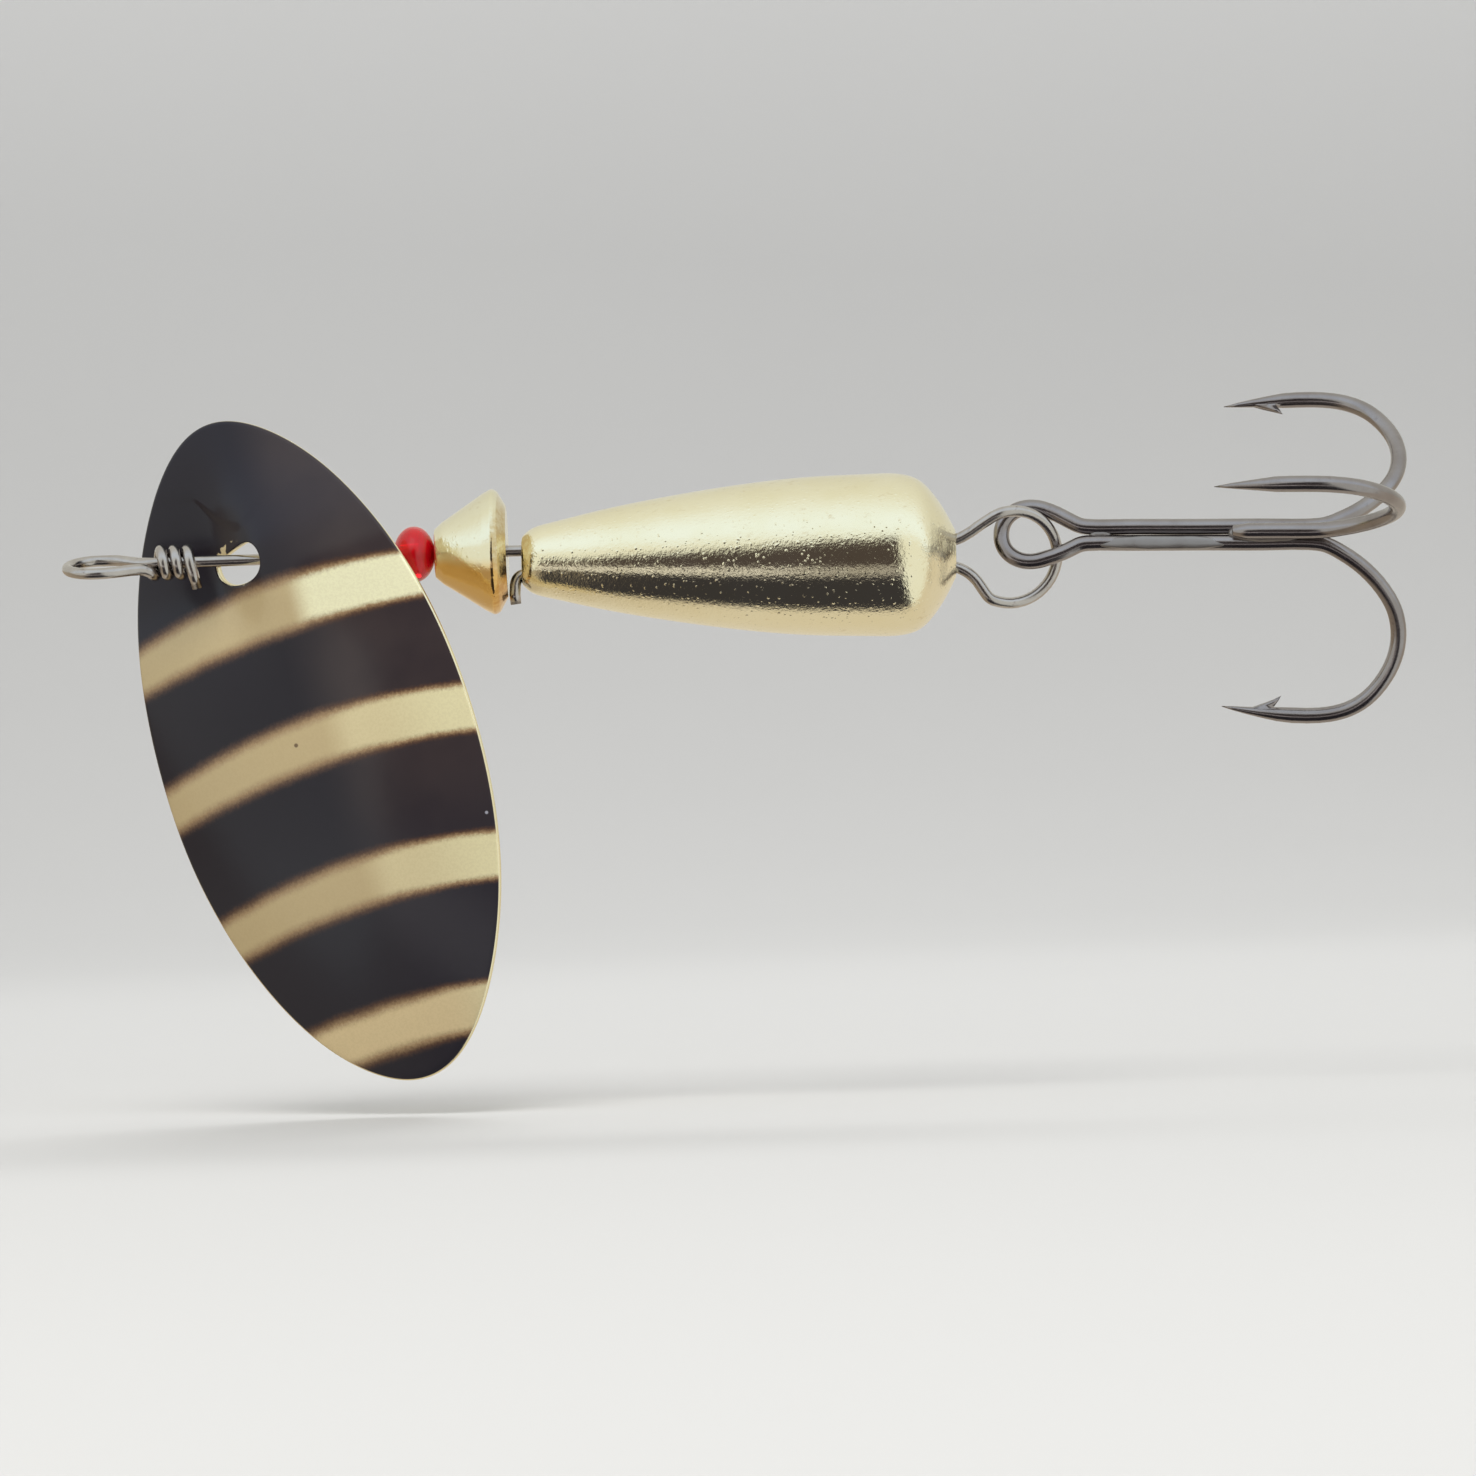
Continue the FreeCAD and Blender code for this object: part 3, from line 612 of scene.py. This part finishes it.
def blade_rows():
    """Rings of (across, along, offset): -Y face, rim, +Y face, edge of the hole."""
    turn = np.radians(np.arange(0, 360, 0.25))
    swell = np.full_like(turn, OUTLINE_MEAN)
    for waves, (cosine, sine) in enumerate(OUTLINE_WAVES, 1):
        swell += cosine * np.cos(waves * turn) + sine * np.sin(waves * turn)
    out_across = OUTLINE_CENTRE[0] + OUTLINE_HALF[0] * swell * np.cos(turn)
    out_along = OUTLINE_CENTRE[1] + OUTLINE_HALF[1] * swell * np.sin(turn)
    out_angle = np.unwrap(np.arctan2(out_along, out_across))
    out_radius = np.hypot(out_across, out_along)

    # rays: even by angle at the hole, even along the outline at the rim
    girth = np.r_[0, np.cumsum(np.hypot(np.diff(np.r_[out_across, out_across[0]]),
                                        np.diff(np.r_[out_along, out_along[0]])))]
    theta_rim = np.interp(np.linspace(0, girth[-1], RAYS, endpoint=False), girth,
                          np.r_[out_angle, out_angle[0] + math.tau])
    theta_hole = theta_rim[0] + np.linspace(0, math.tau, RAYS, endpoint=False)

    def face_ring(share):
        blend = min(1.0, share * 2.2)
        theta = theta_hole * (1 - blend) + theta_rim * blend
        inner = hole_radius(theta) + HOLE_RIM
        outer = np.interp(theta, out_angle, out_radius, period=math.tau) - RIM
        radius = inner + (outer - inner) * share
        return radius * np.cos(theta), radius * np.sin(theta)

    def rounded_edge(ring, direction, width, angles):
        for degrees in angles:
            a = math.radians(degrees)
            bulge = math.sin(a) * width
            rows.append((ring[0] + direction[0] * bulge, ring[1] + direction[1] * bulge,
                         -math.cos(a) * HALF_THICK))

    face = [face_ring(share) for share in np.linspace(0, 1, RINGS) ** 1.15]
    rows = [(*ring, -HALF_THICK) for ring in face]
    # outward direction square to the outline, in the blade's plane
    run_across, run_along = (np.roll(line, -1) - np.roll(line, 1) for line in face[-1])
    length = np.hypot(run_across, run_along)
    out = np.array([run_along / length, -run_across / length])
    out *= np.sign(np.mean(out[0] * np.cos(theta_rim) + out[1] * np.sin(theta_rim)))
    rounded_edge(face[-1], out, RIM, (15, 35, 55, 75, 90, 105, 125, 145, 165))
    rows += [(*ring, HALF_THICK) for ring in reversed(face)]
    rounded_edge(face[0], (-np.cos(theta_hole), -np.sin(theta_hole)), HOLE_RIM,
                 (150, 120, 90, 60, 30))
    return rows


def build_blade():
    rows = blade_rows()
    flat_x, y, flat_z = np.hstack([off_surface(*row) for row in rows])
    hang = math.radians(HANG_ANGLE)
    x = HANG_X + flat_x * math.cos(hang) + flat_z * math.sin(hang)
    z = HANG_Z - flat_x * math.sin(hang) + flat_z * math.cos(hang)
    mesh = bpy.data.meshes.new("blade_form")
    mesh.from_pydata([tuple(v) for v in np.column_stack([x, y, z]) * MM], [],
                     quads(len(rows), RAYS, closed=True))
    mesh.update()
    shade_smooth(mesh)
    # per point: across, along, and how far it belongs to the -Y face
    across, along = np.hstack([row[:2] for row in rows])
    facing = [1.0] * RINGS + [0.8, 0.45, 0.12]
    facing += [0.0] * (len(rows) - len(facing))
    attribute = mesh.attributes.new("blade_ab", "FLOAT_VECTOR", "POINT")
    attribute.data.foreach_set("vector", np.column_stack(
        [across, along, np.repeat(facing, RAYS)]).astype(np.float32).ravel())
    fix_normals(mesh)
    return link_object("blade_form", mesh)


# upper and lower edge of each gold band, as along = c0 + c1 * across + c2 * across^2
BANDS = [
    ((-1.9233, 0.1091, -0.0128), (-5.1103, 0.0896, -0.0082)),
    ((-10.6856, 0.1123, -0.0122), (-13.7001, 0.0967, -0.0104)),
    ((-19.9671, 0.1153, -0.0125), (-22.909, 0.1024, -0.0123)),
    ((-29.1652, 0.0851, -0.01), (-32.1349, 0.0837, -0.0092))]
# small scars: across, along, radius, colour
SCARS = [(0.57, -11.95, 0.17, (0.10, 0.055, 0.03)),
         (10.93, -19.08, 0.13, (0.30, 0.30, 0.34)),
         (-0.9, -5.35, 0.09, (0.12, 0.07, 0.04)),
         (7.6, -32.6, 0.14, (0.06, 0.06, 0.07))]


def band_mask(net, across, along):
    """1 on the gold bands, with ragged edges that are softer at low across."""
    waver = net.mul_add(net.noise(scale=420, detail=3, rough=0.6), 0.26, -0.13)
    fray = net.mul_add(net.noise(scale=5200, detail=3, rough=0.7), 0.36, -0.18)
    ragged = net.add(net.add(along, waver), fray)
    soft = net.mix_float(net.step(across, off=1.0, on=9.0), 0.84, 0.48)
    top_on, bottom_off, bottom_on = (net.mul(soft, share) for share in (-1.05, -1.0, 1.05))
    mask = None
    for band in BANDS:
        above_top, above_bottom = (
            net.sub(ragged, net.mul_add(net.mul_add(across, c2, c1), across, c0))
            for c0, c1, c2 in band)
        stripe = net.mul(net.step(above_top, off=soft, on=top_on),
                         net.step(above_bottom, off=bottom_off, on=bottom_on), clamp=True)
        mask = stripe if mask is None else net.math("MAXIMUM", mask, stripe)
    return mask


def ink_colour(net, across, along, tone):
    """Black lacquer: violet at low across, browner at high, greyer low down."""
    ink = net.mix(net.step(across, off=1.0, on=5.5),
                  (0.0040, 0.0016, 0.0066), (0.0320, 0.0225, 0.0230))
    ink = net.mix(net.mul(net.step(tone, off=0.35, on=0.68), 0.5), ink,
                  (0.0060, 0.0034, 0.0090))
    return net.mix(net.mul(net.step(along, off=-13.0, on=-24.0), 0.8), ink,
                   (0.0135, 0.0125, 0.0185))


def band_colour(net, across, along):
    """Gold: brown at low across and paler at high across as painted shading of the cup, with a
    painted highlight by the hole.
    """
    # painted shading from the cup: darker at low across, lighter at high across
    gold = net.mix(net.step(across, off=2.2, on=4.6),
                   (0.500, 0.390, 0.215), (0.640, 0.545, 0.320))
    gold = net.mix(net.step(across, off=5.0, on=11.0), gold, (0.760, 0.690, 0.420))
    # painted highlight: a pale patch on the gold next to the hole
    painted_hole_highlight = net.mul(net.step(across, off=2.4, on=4.2), net.step(along, off=-8.0, on=-4.0))
    gold = net.mix(painted_hole_highlight, gold, (0.860, 0.830, 0.560))
    low_down = net.mul(net.step(along, off=-25.0, on=-30.0), net.step(across, off=9.0, on=5.0))
    gold = net.mix(low_down, gold, (0.680, 0.540, 0.310))
    grain = net.noise(scale=6500, detail=3, rough=0.6)
    return net.mix(net.mul(net.step(grain, off=0.42, on=0.60), 0.09), gold,
                   (0.36, 0.26, 0.12))


def blade_material():
    """Black lacquer with four soft-edged gold bands over bright metal."""
    material, net = new_material("banded_blade")
    blade_ab = net.node("ShaderNodeAttribute", attribute_name="blade_ab")["Vector"]
    across, along, facing = net.node("ShaderNodeSeparateXYZ", {0: blade_ab})
    bands = band_mask(net, across, along)
    peel = net.noise(scale=900, detail=3, rough=0.5)
    tone = net.noise(scale=120, detail=3, rough=0.5)
    dust = net.spots(scale=330, edge=(0.055, 0.03), pick=(0.90, 0.93))

    # ink turns to gold through two browns
    colour = net.mix(net.step(bands, off=0.02, on=0.34),
                     ink_colour(net, across, along, tone), (0.070, 0.036, 0.022))
    colour = net.mix(net.step(bands, off=0.24, on=0.66), colour, (0.27, 0.175, 0.090))
    colour = net.mix(net.step(bands, off=0.52, on=0.99), colour,
                     band_colour(net, across, along))
    colour = net.mix(net.mul(dust, 0.8), colour, (0.45, 0.44, 0.42))
    for scar_across, scar_along, radius, tint in SCARS:
        away = net.distance(net.sub(across, scar_across), net.sub(along, scar_along))
        scar = net.step(away, off=radius, on=radius * 0.5)
        colour = net.mix(net.mul(scar, 0.85), colour, tint)

    skin = net.bump(net.mul_add(peel, 0.6, net.mul(dust, 0.6)), strength=0.08,
                    distance=0.00008)
    lacquer = net.principled({
        "Base Color": colour,
        "Metallic": net.mul(net.step(bands, off=0.4, on=0.9), 0.40),
        "Roughness": net.mix_float(bands, 0.5, 0.42),
        "Specular IOR Level": 0.12,
        "Coat Weight": 1.0,
        "Coat IOR": 1.375,
        "Coat Roughness": 0.16,
        "Normal": skin,
        "Coat Normal": skin})
    # bare brass on the rim and the hollow +Y side
    brass_rough = net.noise(scale=2600, detail=3, rough=0.6)
    brass = net.principled({
        "Base Color": net.mix(net.step(tone, off=0.3, on=0.7),
                              (0.80, 0.70, 0.46), (0.86, 0.77, 0.53)),
        "Metallic": 0.9,
        "Roughness": net.mul_add(brass_rough, factor=0.14, plus=0.15),
        "Normal": net.bump(peel, strength=0.25, distance=0.00008)})

    # chipped lacquer round the hole, at negative across
    from_hole = net.distance(net.math("DIVIDE", across, HOLE_HALF[0]),
                             net.math("DIVIDE", along, HOLE_HALF[1]))
    ragged = net.mul_add(net.noise(scale=2600, detail=4, rough=0.7), 0.30, -0.15)
    near = net.step(net.add(from_hole, ragged), off=1.12, on=1.05)
    flakes = net.step(net.noise(scale=1500, detail=2, rough=0.5), off=0.53, on=0.57)
    chip = net.mul(net.mul(near, net.step(across, off=0.5, on=-0.4)), flakes, clamp=True)
    # the lacquer stops short of the rim at high across and low down
    worn = net.math("MAXIMUM",
                    net.mul(net.step(across, off=3.5, on=6.0), net.step(along, off=0.0, on=-6.0)),
                    net.step(along, off=-12.0, on=-22.0))
    limit = net.mul(worn, 0.62)
    coated = net.step(facing, off=net.add(limit, 0.04), on=net.add(limit, 0.16))
    cover = net.mul(coated, net.sub(1.0, chip), clamp=True)
    net.surface(net.node("ShaderNodeMixShader", {0: cover, 1: brass, 2: lacquer})[0])
    return material


fit_piece(build_blade(), blade_material(), ride="blade", replaces="blade")

# -------------------------------------------------------------------- bead
BEAD_X, BEAD_HALF_LENGTH, BEAD_RADIUS, BEAD_BORE = 19.78, 1.31, 1.75, 0.475


def bead_profile():
    start = math.asin(BEAD_BORE / BEAD_RADIUS)
    profile = []
    for i in range(49):
        a = start + (math.pi - 2 * start) * i / 48
        profile.append((-BEAD_HALF_LENGTH * math.cos(a), BEAD_RADIUS * math.sin(a)))
    # back through the bore, just inside the two mouths
    inset = 0.02
    first_x, last_x = profile[0][0], profile[-1][0]
    profile.append((last_x - inset, BEAD_BORE - 0.01))
    for i in range(1, 6):
        share = 1 - 2 * i / 6
        profile.append((last_x * share - inset * share, BEAD_BORE - 0.012))
    profile.append((first_x + inset, BEAD_BORE - 0.01))
    return profile


bead = lathe("bead_form", bead_profile(), BEAD_X, sides=128)
fit_piece(bead, bead_mat, ride="carrier", replaces="bead")

# -------------------------------------------------------------- bell weight
BELL_X = 21.07
# x, radius, corner rounding
BELL = [(0, 0.475, 0.06), (0, 1.50, 0.14), (0.50, 1.95, 1.2), (1.26, 2.44, 3.0),
        (3.06, 3.64, 1.2), (3.67, 3.96, 0.32), (4.00, 3.76, 0.32), (4.52, 2.84, 0.16),
        (4.52, 0.475, 0.06)]

bell = lathe("bell_form", refine(round_corners(BELL, segments=9), step=0.16), BELL_X)
fit_piece(bell, bell_mat, ride="bell", replaces="bell_weight")

# ----------------------------------------------------------- tear-drop body
BODY_X, BODY_Z, BODY_TILT = 26.49, -0.64, 0.942
BODY_BORE, BORE_LENGTH = 1.37, 27.0
# x, radius
BODY = [(0.06, 1.56), (0.45, 1.90), (1.75, 2.36), (4.25, 2.95), (8.0, 3.69),
        (13.0, 4.46), (18.0, 4.95), (21.9, 5.08), (23.75, 5.03), (24.8, 4.69),
        (25.7, 3.84), (26.5, 2.65), (27.04, 1.60)]


def body_profile():
    side = spline([(x, radius, 0) for x, radius in BODY], per_mm=24, turn_limit=0.35)[0]
    profile = [(0.22, BODY_BORE), (0.08, 1.39), (0.0, 1.44)]
    profile += [(float(x), float(radius)) for x, radius, _ in side]
    profile += [(27.10, 1.50), (27.07, 1.42), (26.9, BODY_BORE)]
    profile += [(BORE_LENGTH - BORE_LENGTH * i / 20, BODY_BORE) for i in range(1, 20)]
    return [point for i, point in enumerate(profile)
            if i == 0 or math.dist(point, profile[i - 1]) > 1e-3]


body = lathe("body_form", refine(body_profile(), step=0.3), BODY_X, BODY_Z, BODY_TILT,
             sides=224)
fit_piece(body, body_mat, ride="frame", replaces="body_weight")

# ------------------------------------------------------------- treble hook
# Built along +X round the common axis of three touching shanks, then placed.
HOOK_RADIUS = 0.5
SHANK_GAP = 1.03
SHANK_OUT = SHANK_GAP / math.sqrt(3.0)          # shank axis from the common axis
EYE_Y, EYE_LEG_Z = SHANK_OUT * 0.5, SHANK_GAP / 2
POINT_LENGTH, TIP_RADIUS = 3.9, 0.022
HOOK_PLACE, HOOK_TURNS = (56.471, 0.10, 0.0387), (("Z", -6.0), ("Y", 1.93), ("X", -13.0))
DOUBLE_ARMS = (120, 240)                        # degrees round X from -Y
# x, distance out from the shank, from the shank round to the point
BEND = [(19.30, 0.0), (20.15, 0.13), (21.05, 0.56), (22.0, 1.20),
        (22.95, 2.05), (23.80, 3.10), (24.42, 4.25), (24.70, 5.45),
        (24.66, 6.70), (24.30, 7.95), (23.62, 9.15), (22.72, 10.15),
        (21.65, 10.82), (20.40, 11.18), (19.0, 11.28), (17.6, 11.22),
        (16.75, 11.14), (15.2, 10.93), (13.66, 10.66)]
# x, distance out from the leg, from the shank to the eye's end
EYE = [(5.60, 0.0), (5.0, 0.075), (4.1, 0.50), (3.0, 1.03), (1.9, 1.28),
       (0.88, 1.05), (0.22, 0.42)]
# barb outline: along X, inward, half width
BARB = [(-1.70, 0.10, 0.05), (-1.1, 0.36, 0.15), (-0.4, 0.60, 0.19), (0.25, 0.86, 0.14),
        (0.78, 1.16, 0.02), (0.62, 0.86, 0.08), (0.42, 0.60, 0.14), (0.22, 0.34, 0.17),
        (0.10, 0.05, 0.17)]


def radial(x, out, degrees):
    a = math.radians(degrees)
    radius = SHANK_OUT + out
    return (x, -radius * math.cos(a), radius * math.sin(a))


def arm(degrees, shank_stations):
    """One arm from its point round the bend and up the shank."""
    return [radial(x, out, degrees) for x, out in reversed(BEND)] \
        + [radial(x, 0.0, degrees) for x in shank_stations]


def taper(total, both_ends):
    """Radius along a wire that is pointed at its start, or at both ends."""
    def radius_at(length):
        from_tip = min(length, total - length) if both_ends else length
        if from_tip >= POINT_LENGTH:
            return HOOK_RADIUS
        share = max(from_tip, 0.0) / POINT_LENGTH
        return TIP_RADIUS + (HOOK_RADIUS - TIP_RADIUS) * (share ** 0.86) \
            * (1 - 0.04 * math.sin(math.pi * share))
    return radius_at


def path_length(points):
    return float(spline(points, per_mm=16, turn_limit=4)[2][-1])


def barb(name, degrees):
    """Raised chip on the inner side of the point, leaning to the bend."""
    a = math.radians(degrees)
    inward = np.array([0, math.cos(a), -math.sin(a)])
    sideways = np.array([0, math.sin(a), math.cos(a)])
    lengthwise = np.array([1.0, 0, 0])
    root = np.array(radial(16.6, 11.14, degrees))
    verts = [(root + lengthwise * x + inward * rise + sideways * width * sign) * MM
             for sign in (-1, 1) for x, rise, width in BARB]
    return make_mesh(name, verts, capped_quads(2, len(BARB)), smooth=False)


def union(base, tools):
    """Merge the tools into the base mesh and remove them."""
    for tool in tools:
        modifier = base.modifiers.new("join", "BOOLEAN")
        modifier.operation = "UNION"
        modifier.solver = "EXACT"
        modifier.object = tool
        depsgraph = bpy.context.evaluated_depsgraph_get()
        merged = bpy.data.meshes.new_from_object(base.evaluated_get(depsgraph))
        base.modifiers.clear()
        old = base.data
        base.data = merged
        bpy.data.meshes.remove(old)
        bpy.data.objects.remove(tool)
    shade_smooth(base.data)
    base.data.update()


def build_double():
    """Two arms and the eye between them, bent from one wire."""
    upper, lower = (arm(degrees, (17.0, 13.5, 10.0, 7.4)) for degrees in DOUBLE_ARMS)
    path = upper + [(x, EYE_Y, EYE_LEG_Z + out) for x, out in EYE]
    path += [(0.0, EYE_Y, 0.10)]
    path += [(x, EYE_Y, -(EYE_LEG_Z + out) + (0.10 if x < 3.5 else 0.0))
             for x, out in reversed(EYE)]
    path += reversed(lower)
    ob = tube("double_hook_form", path, HOOK_RADIUS, sides=32, per_mm=14, turn_limit=4,
              cap=0.1, radius_at=taper(path_length(path), both_ends=True))
    union(ob, [barb("barb_a", DOUBLE_ARMS[0]), barb("barb_b", DOUBLE_ARMS[1])])
    return ob


def build_single():
    """Third arm, with a blunt rounded end on its shank."""
    path = arm(0, (17.6, 16.2, 15.1, 14.42))
    total = path_length(path)
    pointed = taper(total, both_ends=False)
    round_length, end_radius = 0.75, 0.24

    def radius_at(length):
        radius = pointed(length)
        from_end = total - length
        if from_end < round_length:
            share = from_end / round_length
            radius = min(radius, end_radius + 0.26 * math.sqrt(max(0.0, 1 - (1 - share) ** 2)))
        return radius

    ob = tube("single_hook_form", path, HOOK_RADIUS, sides=32, per_mm=14, turn_limit=4,
              cap=0.2, radius_at=radius_at)
    union(ob, [barb("barb_c", 0)])
    return ob


def braze_blob(name, x, half_length, radius, y, lumps):
    """Filler metal: a lumpy spindle along X."""
    verts = []
    steps, sides = 60, 48
    for i in range(steps + 1):
        u = -1 + 2 * i / steps
        ring_radius = radius * math.sqrt(max(1e-4, 1 - abs(u) ** 2.6))
        for k in range(sides):
            a = math.tau * k / sides
            wobble = 1 + lumps * (math.sin(9 * u + 2 * a) * 0.5 + math.sin(17 * u - 3 * a) * 0.3)
            verts.append(((x + half_length * u) * MM,
                          (y + ring_radius * wobble * math.cos(a)) * MM,
                          ring_radius * wobble * math.sin(a) * MM))
    return make_mesh(name, verts, capped_quads(steps + 1, sides))


def flatten_fillet(mesh):
    """Square the spindle to a strip that lies on the lower shank (metres)."""
    squareness, z_stretch, y_shift, z_shift = 0.62, 1.70, 0.00002, 0.00060
    bm = bmesh.new()
    bm.from_mesh(mesh)
    for v in bm.verts:
        radius = math.hypot(v.co.y, v.co.z)
        if radius > 1e-9:
            y, z = v.co.y / radius, v.co.z / radius
            v.co.y = radius * math.copysign(abs(y) ** squareness, y) - y_shift
            v.co.z = radius * z_stretch * math.copysign(abs(z) ** squareness, z) - z_shift
    bm.to_mesh(mesh)
    bm.free()


def build_treble():
    double, single = build_double(), build_single()
    seam = braze_blob("hook_braze_form", x=16.65, half_length=2.5, radius=0.64, y=0.0,
                      lumps=0.02)
    neck = braze_blob("neck_fillet_form", x=6.2, half_length=0.70, radius=0.335, y=EYE_Y,
                      lumps=0.03)
    fillet = braze_blob("shank_fillet_form", x=10.1, half_length=4.35, radius=0.25, y=0.0,
                        lumps=0.045)
    flatten_fillet(fillet.data)

    place = Matrix.Translation(Vector(HOOK_PLACE) * MM)
    for axis, degrees in HOOK_TURNS:
        place = place @ Matrix.Rotation(math.radians(degrees), 4, axis)
    for ob, material, slot, replaces in (
            (double, hook_mat, "hook", "double_hook"), (single, hook_mat, "hook", "single_hook"),
            (seam, braze_mat, "braze", "hook_braze"), (neck, braze_mat, "braze", None),
            (fillet, braze_mat, "braze", None)):
        ob.data.transform(place)
        ob.data.update()
        fit_piece(ob, material, ride="treble", replaces=replaces)


build_treble()

# ------------------------------------------------------- stage and lighting
box_low, box_high = Vector(cad_box[0]), Vector(cad_box[1])
FLOOR_Z = box_low.z - 0.0022
FLOOR_X = (-1.6, 1.7)
FLOOR_FRONT, SWEEP_START, SWEEP_RADIUS, WALL_TOP = -1.2, 0.30, 0.35, 1.4


def paper_material():
    """Pale paper that brightens and glows a little up the wall."""
    material, net = new_material("pale_paper")
    height = net.node("ShaderNodeSeparateXYZ", {0: net.object_coords()})[2]
    wall = net.step(height, off=FLOOR_Z - 0.01, on=FLOOR_Z + 0.42)
    grain = net.noise(scale=9, detail=3, rough=0.5)
    paper = net.mix(grain, (0.475, 0.472, 0.466), (0.49, 0.487, 0.48))
    net.surface(net.principled({
        "Base Color": net.mix(wall, paper, (0.82, 0.818, 0.81)),
        "Roughness": 0.85,
        "Emission Color": (1.0, 1.0, 0.99),
        "Emission Strength": net.mul(wall, 0.27)}))
    return material


def build_floor():
    """Floor that sweeps up into a wall behind the lure (+Y)."""
    profile = [(FLOOR_FRONT, 0.0)]
    for degrees in range(0, 91, 6):
        a = math.radians(degrees)
        profile.append((SWEEP_START + SWEEP_RADIUS * math.sin(a),
                        SWEEP_RADIUS - SWEEP_RADIUS * math.cos(a)))
    profile.append((SWEEP_START + SWEEP_RADIUS, WALL_TOP))
    verts = [(x, y, FLOOR_Z + z) for x in FLOOR_X for y, z in profile]
    count = len(profile)
    floor = make_mesh("pale_floor", verts, [(i, i + 1, count + i + 1, count + i)
                                            for i in range(count - 1)])
    floor.data.materials.append(paper_material())
    floor.visible_glossy = False


def build_world():
    """Studio surround for reflections: bright above, a dark gap low in front, warm below."""
    world = bpy.data.worlds.new("studio")
    bpy.context.scene.world = world
    net = Graph(world)
    direction = net.node("ShaderNodeTexCoord")["Generated"]
    x, y, z = net.node("ShaderNodeSeparateXYZ", {0: direction})
    # angle in the YZ plane: 0 towards the camera (-Y), pi/2 up, +-pi behind
    angle = net.math("ARCTAN2", z, net.mul(y, -1.0))

    # lower edge of the bright part: it drops on both sides, with a step to the left
    left = net.math("MINIMUM", x, 0.0)
    right = net.math("MAXIMUM", net.sub(x, 0.20), 0.0)
    edge = net.mul_add(left, 0.75, net.mul_add(right, -9.0, 0.39))
    edge = net.math("MAXIMUM", edge, -1.60)
    edge = net.mul_add(net.step(x, off=-0.46, on=-0.74), -0.55, edge)
    bright = net.step(net.sub(angle, edge), off=-0.04, on=0.05)
    glow = net.mul(net.step(angle, off=0.25, on=0.72), net.step(angle, off=1.75, on=0.85),
                   clamp=True)
    sky = net.mix(net.step(angle, off=1.2, on=3.0), (0.85, 0.88, 0.83), (0.70, 0.70, 0.63))
    sky = net.mix(glow, sky, (0.93, 1.05, 1.15))

    dark = net.mix(net.step(angle, off=-0.50, on=-0.62),
                   (0.075, 0.062, 0.062), (0.042, 0.040, 0.046))
    dark = net.mix(net.step(x, off=-0.42, on=-0.66), dark, (0.44, 0.375, 0.290))
    # thin bright line across the dark gap, stronger to the left
    line = net.mul(net.step(angle, off=-0.56, on=-0.47), net.step(angle, off=-0.30, on=-0.39),
                   clamp=True)
    line = net.mul(line, net.mix_float(net.step(x, off=-0.08, on=-0.26), 0.42, 0.85))
    colour = net.mix(line, dark, (0.98, 0.96, 0.93))
    colour = net.mix(bright, colour, sky)
    ground = net.mix(net.step(x, off=-0.14, on=-0.44), (0.71, 0.655, 0.55), (0.52, 0.445, 0.335))
    colour = net.mix(net.step(angle, off=-1.46, on=-1.58), colour, ground)

    # diffuse light and the camera see plain greys
    rays = net.node("ShaderNodeLightPath")
    colour = net.mix(rays["Is Diffuse Ray"], colour, (0.62, 0.62, 0.62))
    colour = net.mix(rays["Is Camera Ray"], colour, (0.62, 0.62, 0.612))
    background = net.node("ShaderNodeBackground", {"Color": colour, "Strength": 1.0})[0]
    net.node("ShaderNodeOutputWorld", {0: background})


# name, place from the middle of the lure, size, power in watts, colour
LIGHTS = [("key", (-0.10, -0.30, 0.42), (0.30, 0.30), 2.2, (1.0, 0.99, 0.96)),
          ("fill", (0.32, -0.35, 0.10), (0.25, 0.25), 0.9, (0.96, 0.98, 1.0)),
          ("rim", (0.05, 0.30, 0.30), (0.30, 0.10), 0.8, (1.0, 1.0, 1.0))]


def build_lights():
    """Area lights aimed at the lure and hidden from its reflections."""
    middle = (box_low + box_high) / 2
    for name, offset, size, power, colour in LIGHTS:
        light = bpy.data.lights.new(name, "AREA")
        light.shape = "RECTANGLE"
        light.size, light.size_y = size
        light.energy = power
        light.color = colour
        place = middle + Vector(offset)
        ob = bpy.data.objects.new(name, light)
        ob.location = place
        ob.rotation_euler = (middle - place).to_track_quat("-Z", "Y").to_euler()
        bpy.context.scene.collection.objects.link(ob)
        ob.visible_glossy = False


CAMERA_DISTANCE, VIEW_HALF_WIDTH, SENSOR_WIDTH = 412.5, 46.125, 36.0
CAMERA_X, CAMERA_Z, CAMERA_ROLL = 39.61, -12.15, 1.93


def build_camera():
    """Long lens looking along +Y, rolled a little."""
    camera = bpy.data.cameras.new("camera")
    camera.sensor_width = SENSOR_WIDTH
    camera.sensor_fit = "HORIZONTAL"
    camera.lens = SENSOR_WIDTH / 2 * CAMERA_DISTANCE / VIEW_HALF_WIDTH
    camera.clip_start = 0.01
    camera.clip_end = 20
    ob = bpy.data.objects.new("camera", camera)
    roll = math.radians(CAMERA_ROLL)
    right = Vector((math.cos(roll), 0, -math.sin(roll)))
    up = Vector((math.sin(roll), 0, math.cos(roll)))
    turn = Matrix((right, up, Vector((0, -1, 0)))).transposed()
    place = Vector((CAMERA_X, -CAMERA_DISTANCE, CAMERA_Z)) * MM
    ob.matrix_world = Matrix.Translation(place) @ turn.to_4x4()
    bpy.context.scene.collection.objects.link(ob)
    bpy.context.scene.camera = ob


build_floor()
build_world()
build_lights()
build_camera()
bpy.context.scene.view_settings.view_transform = "Standard"
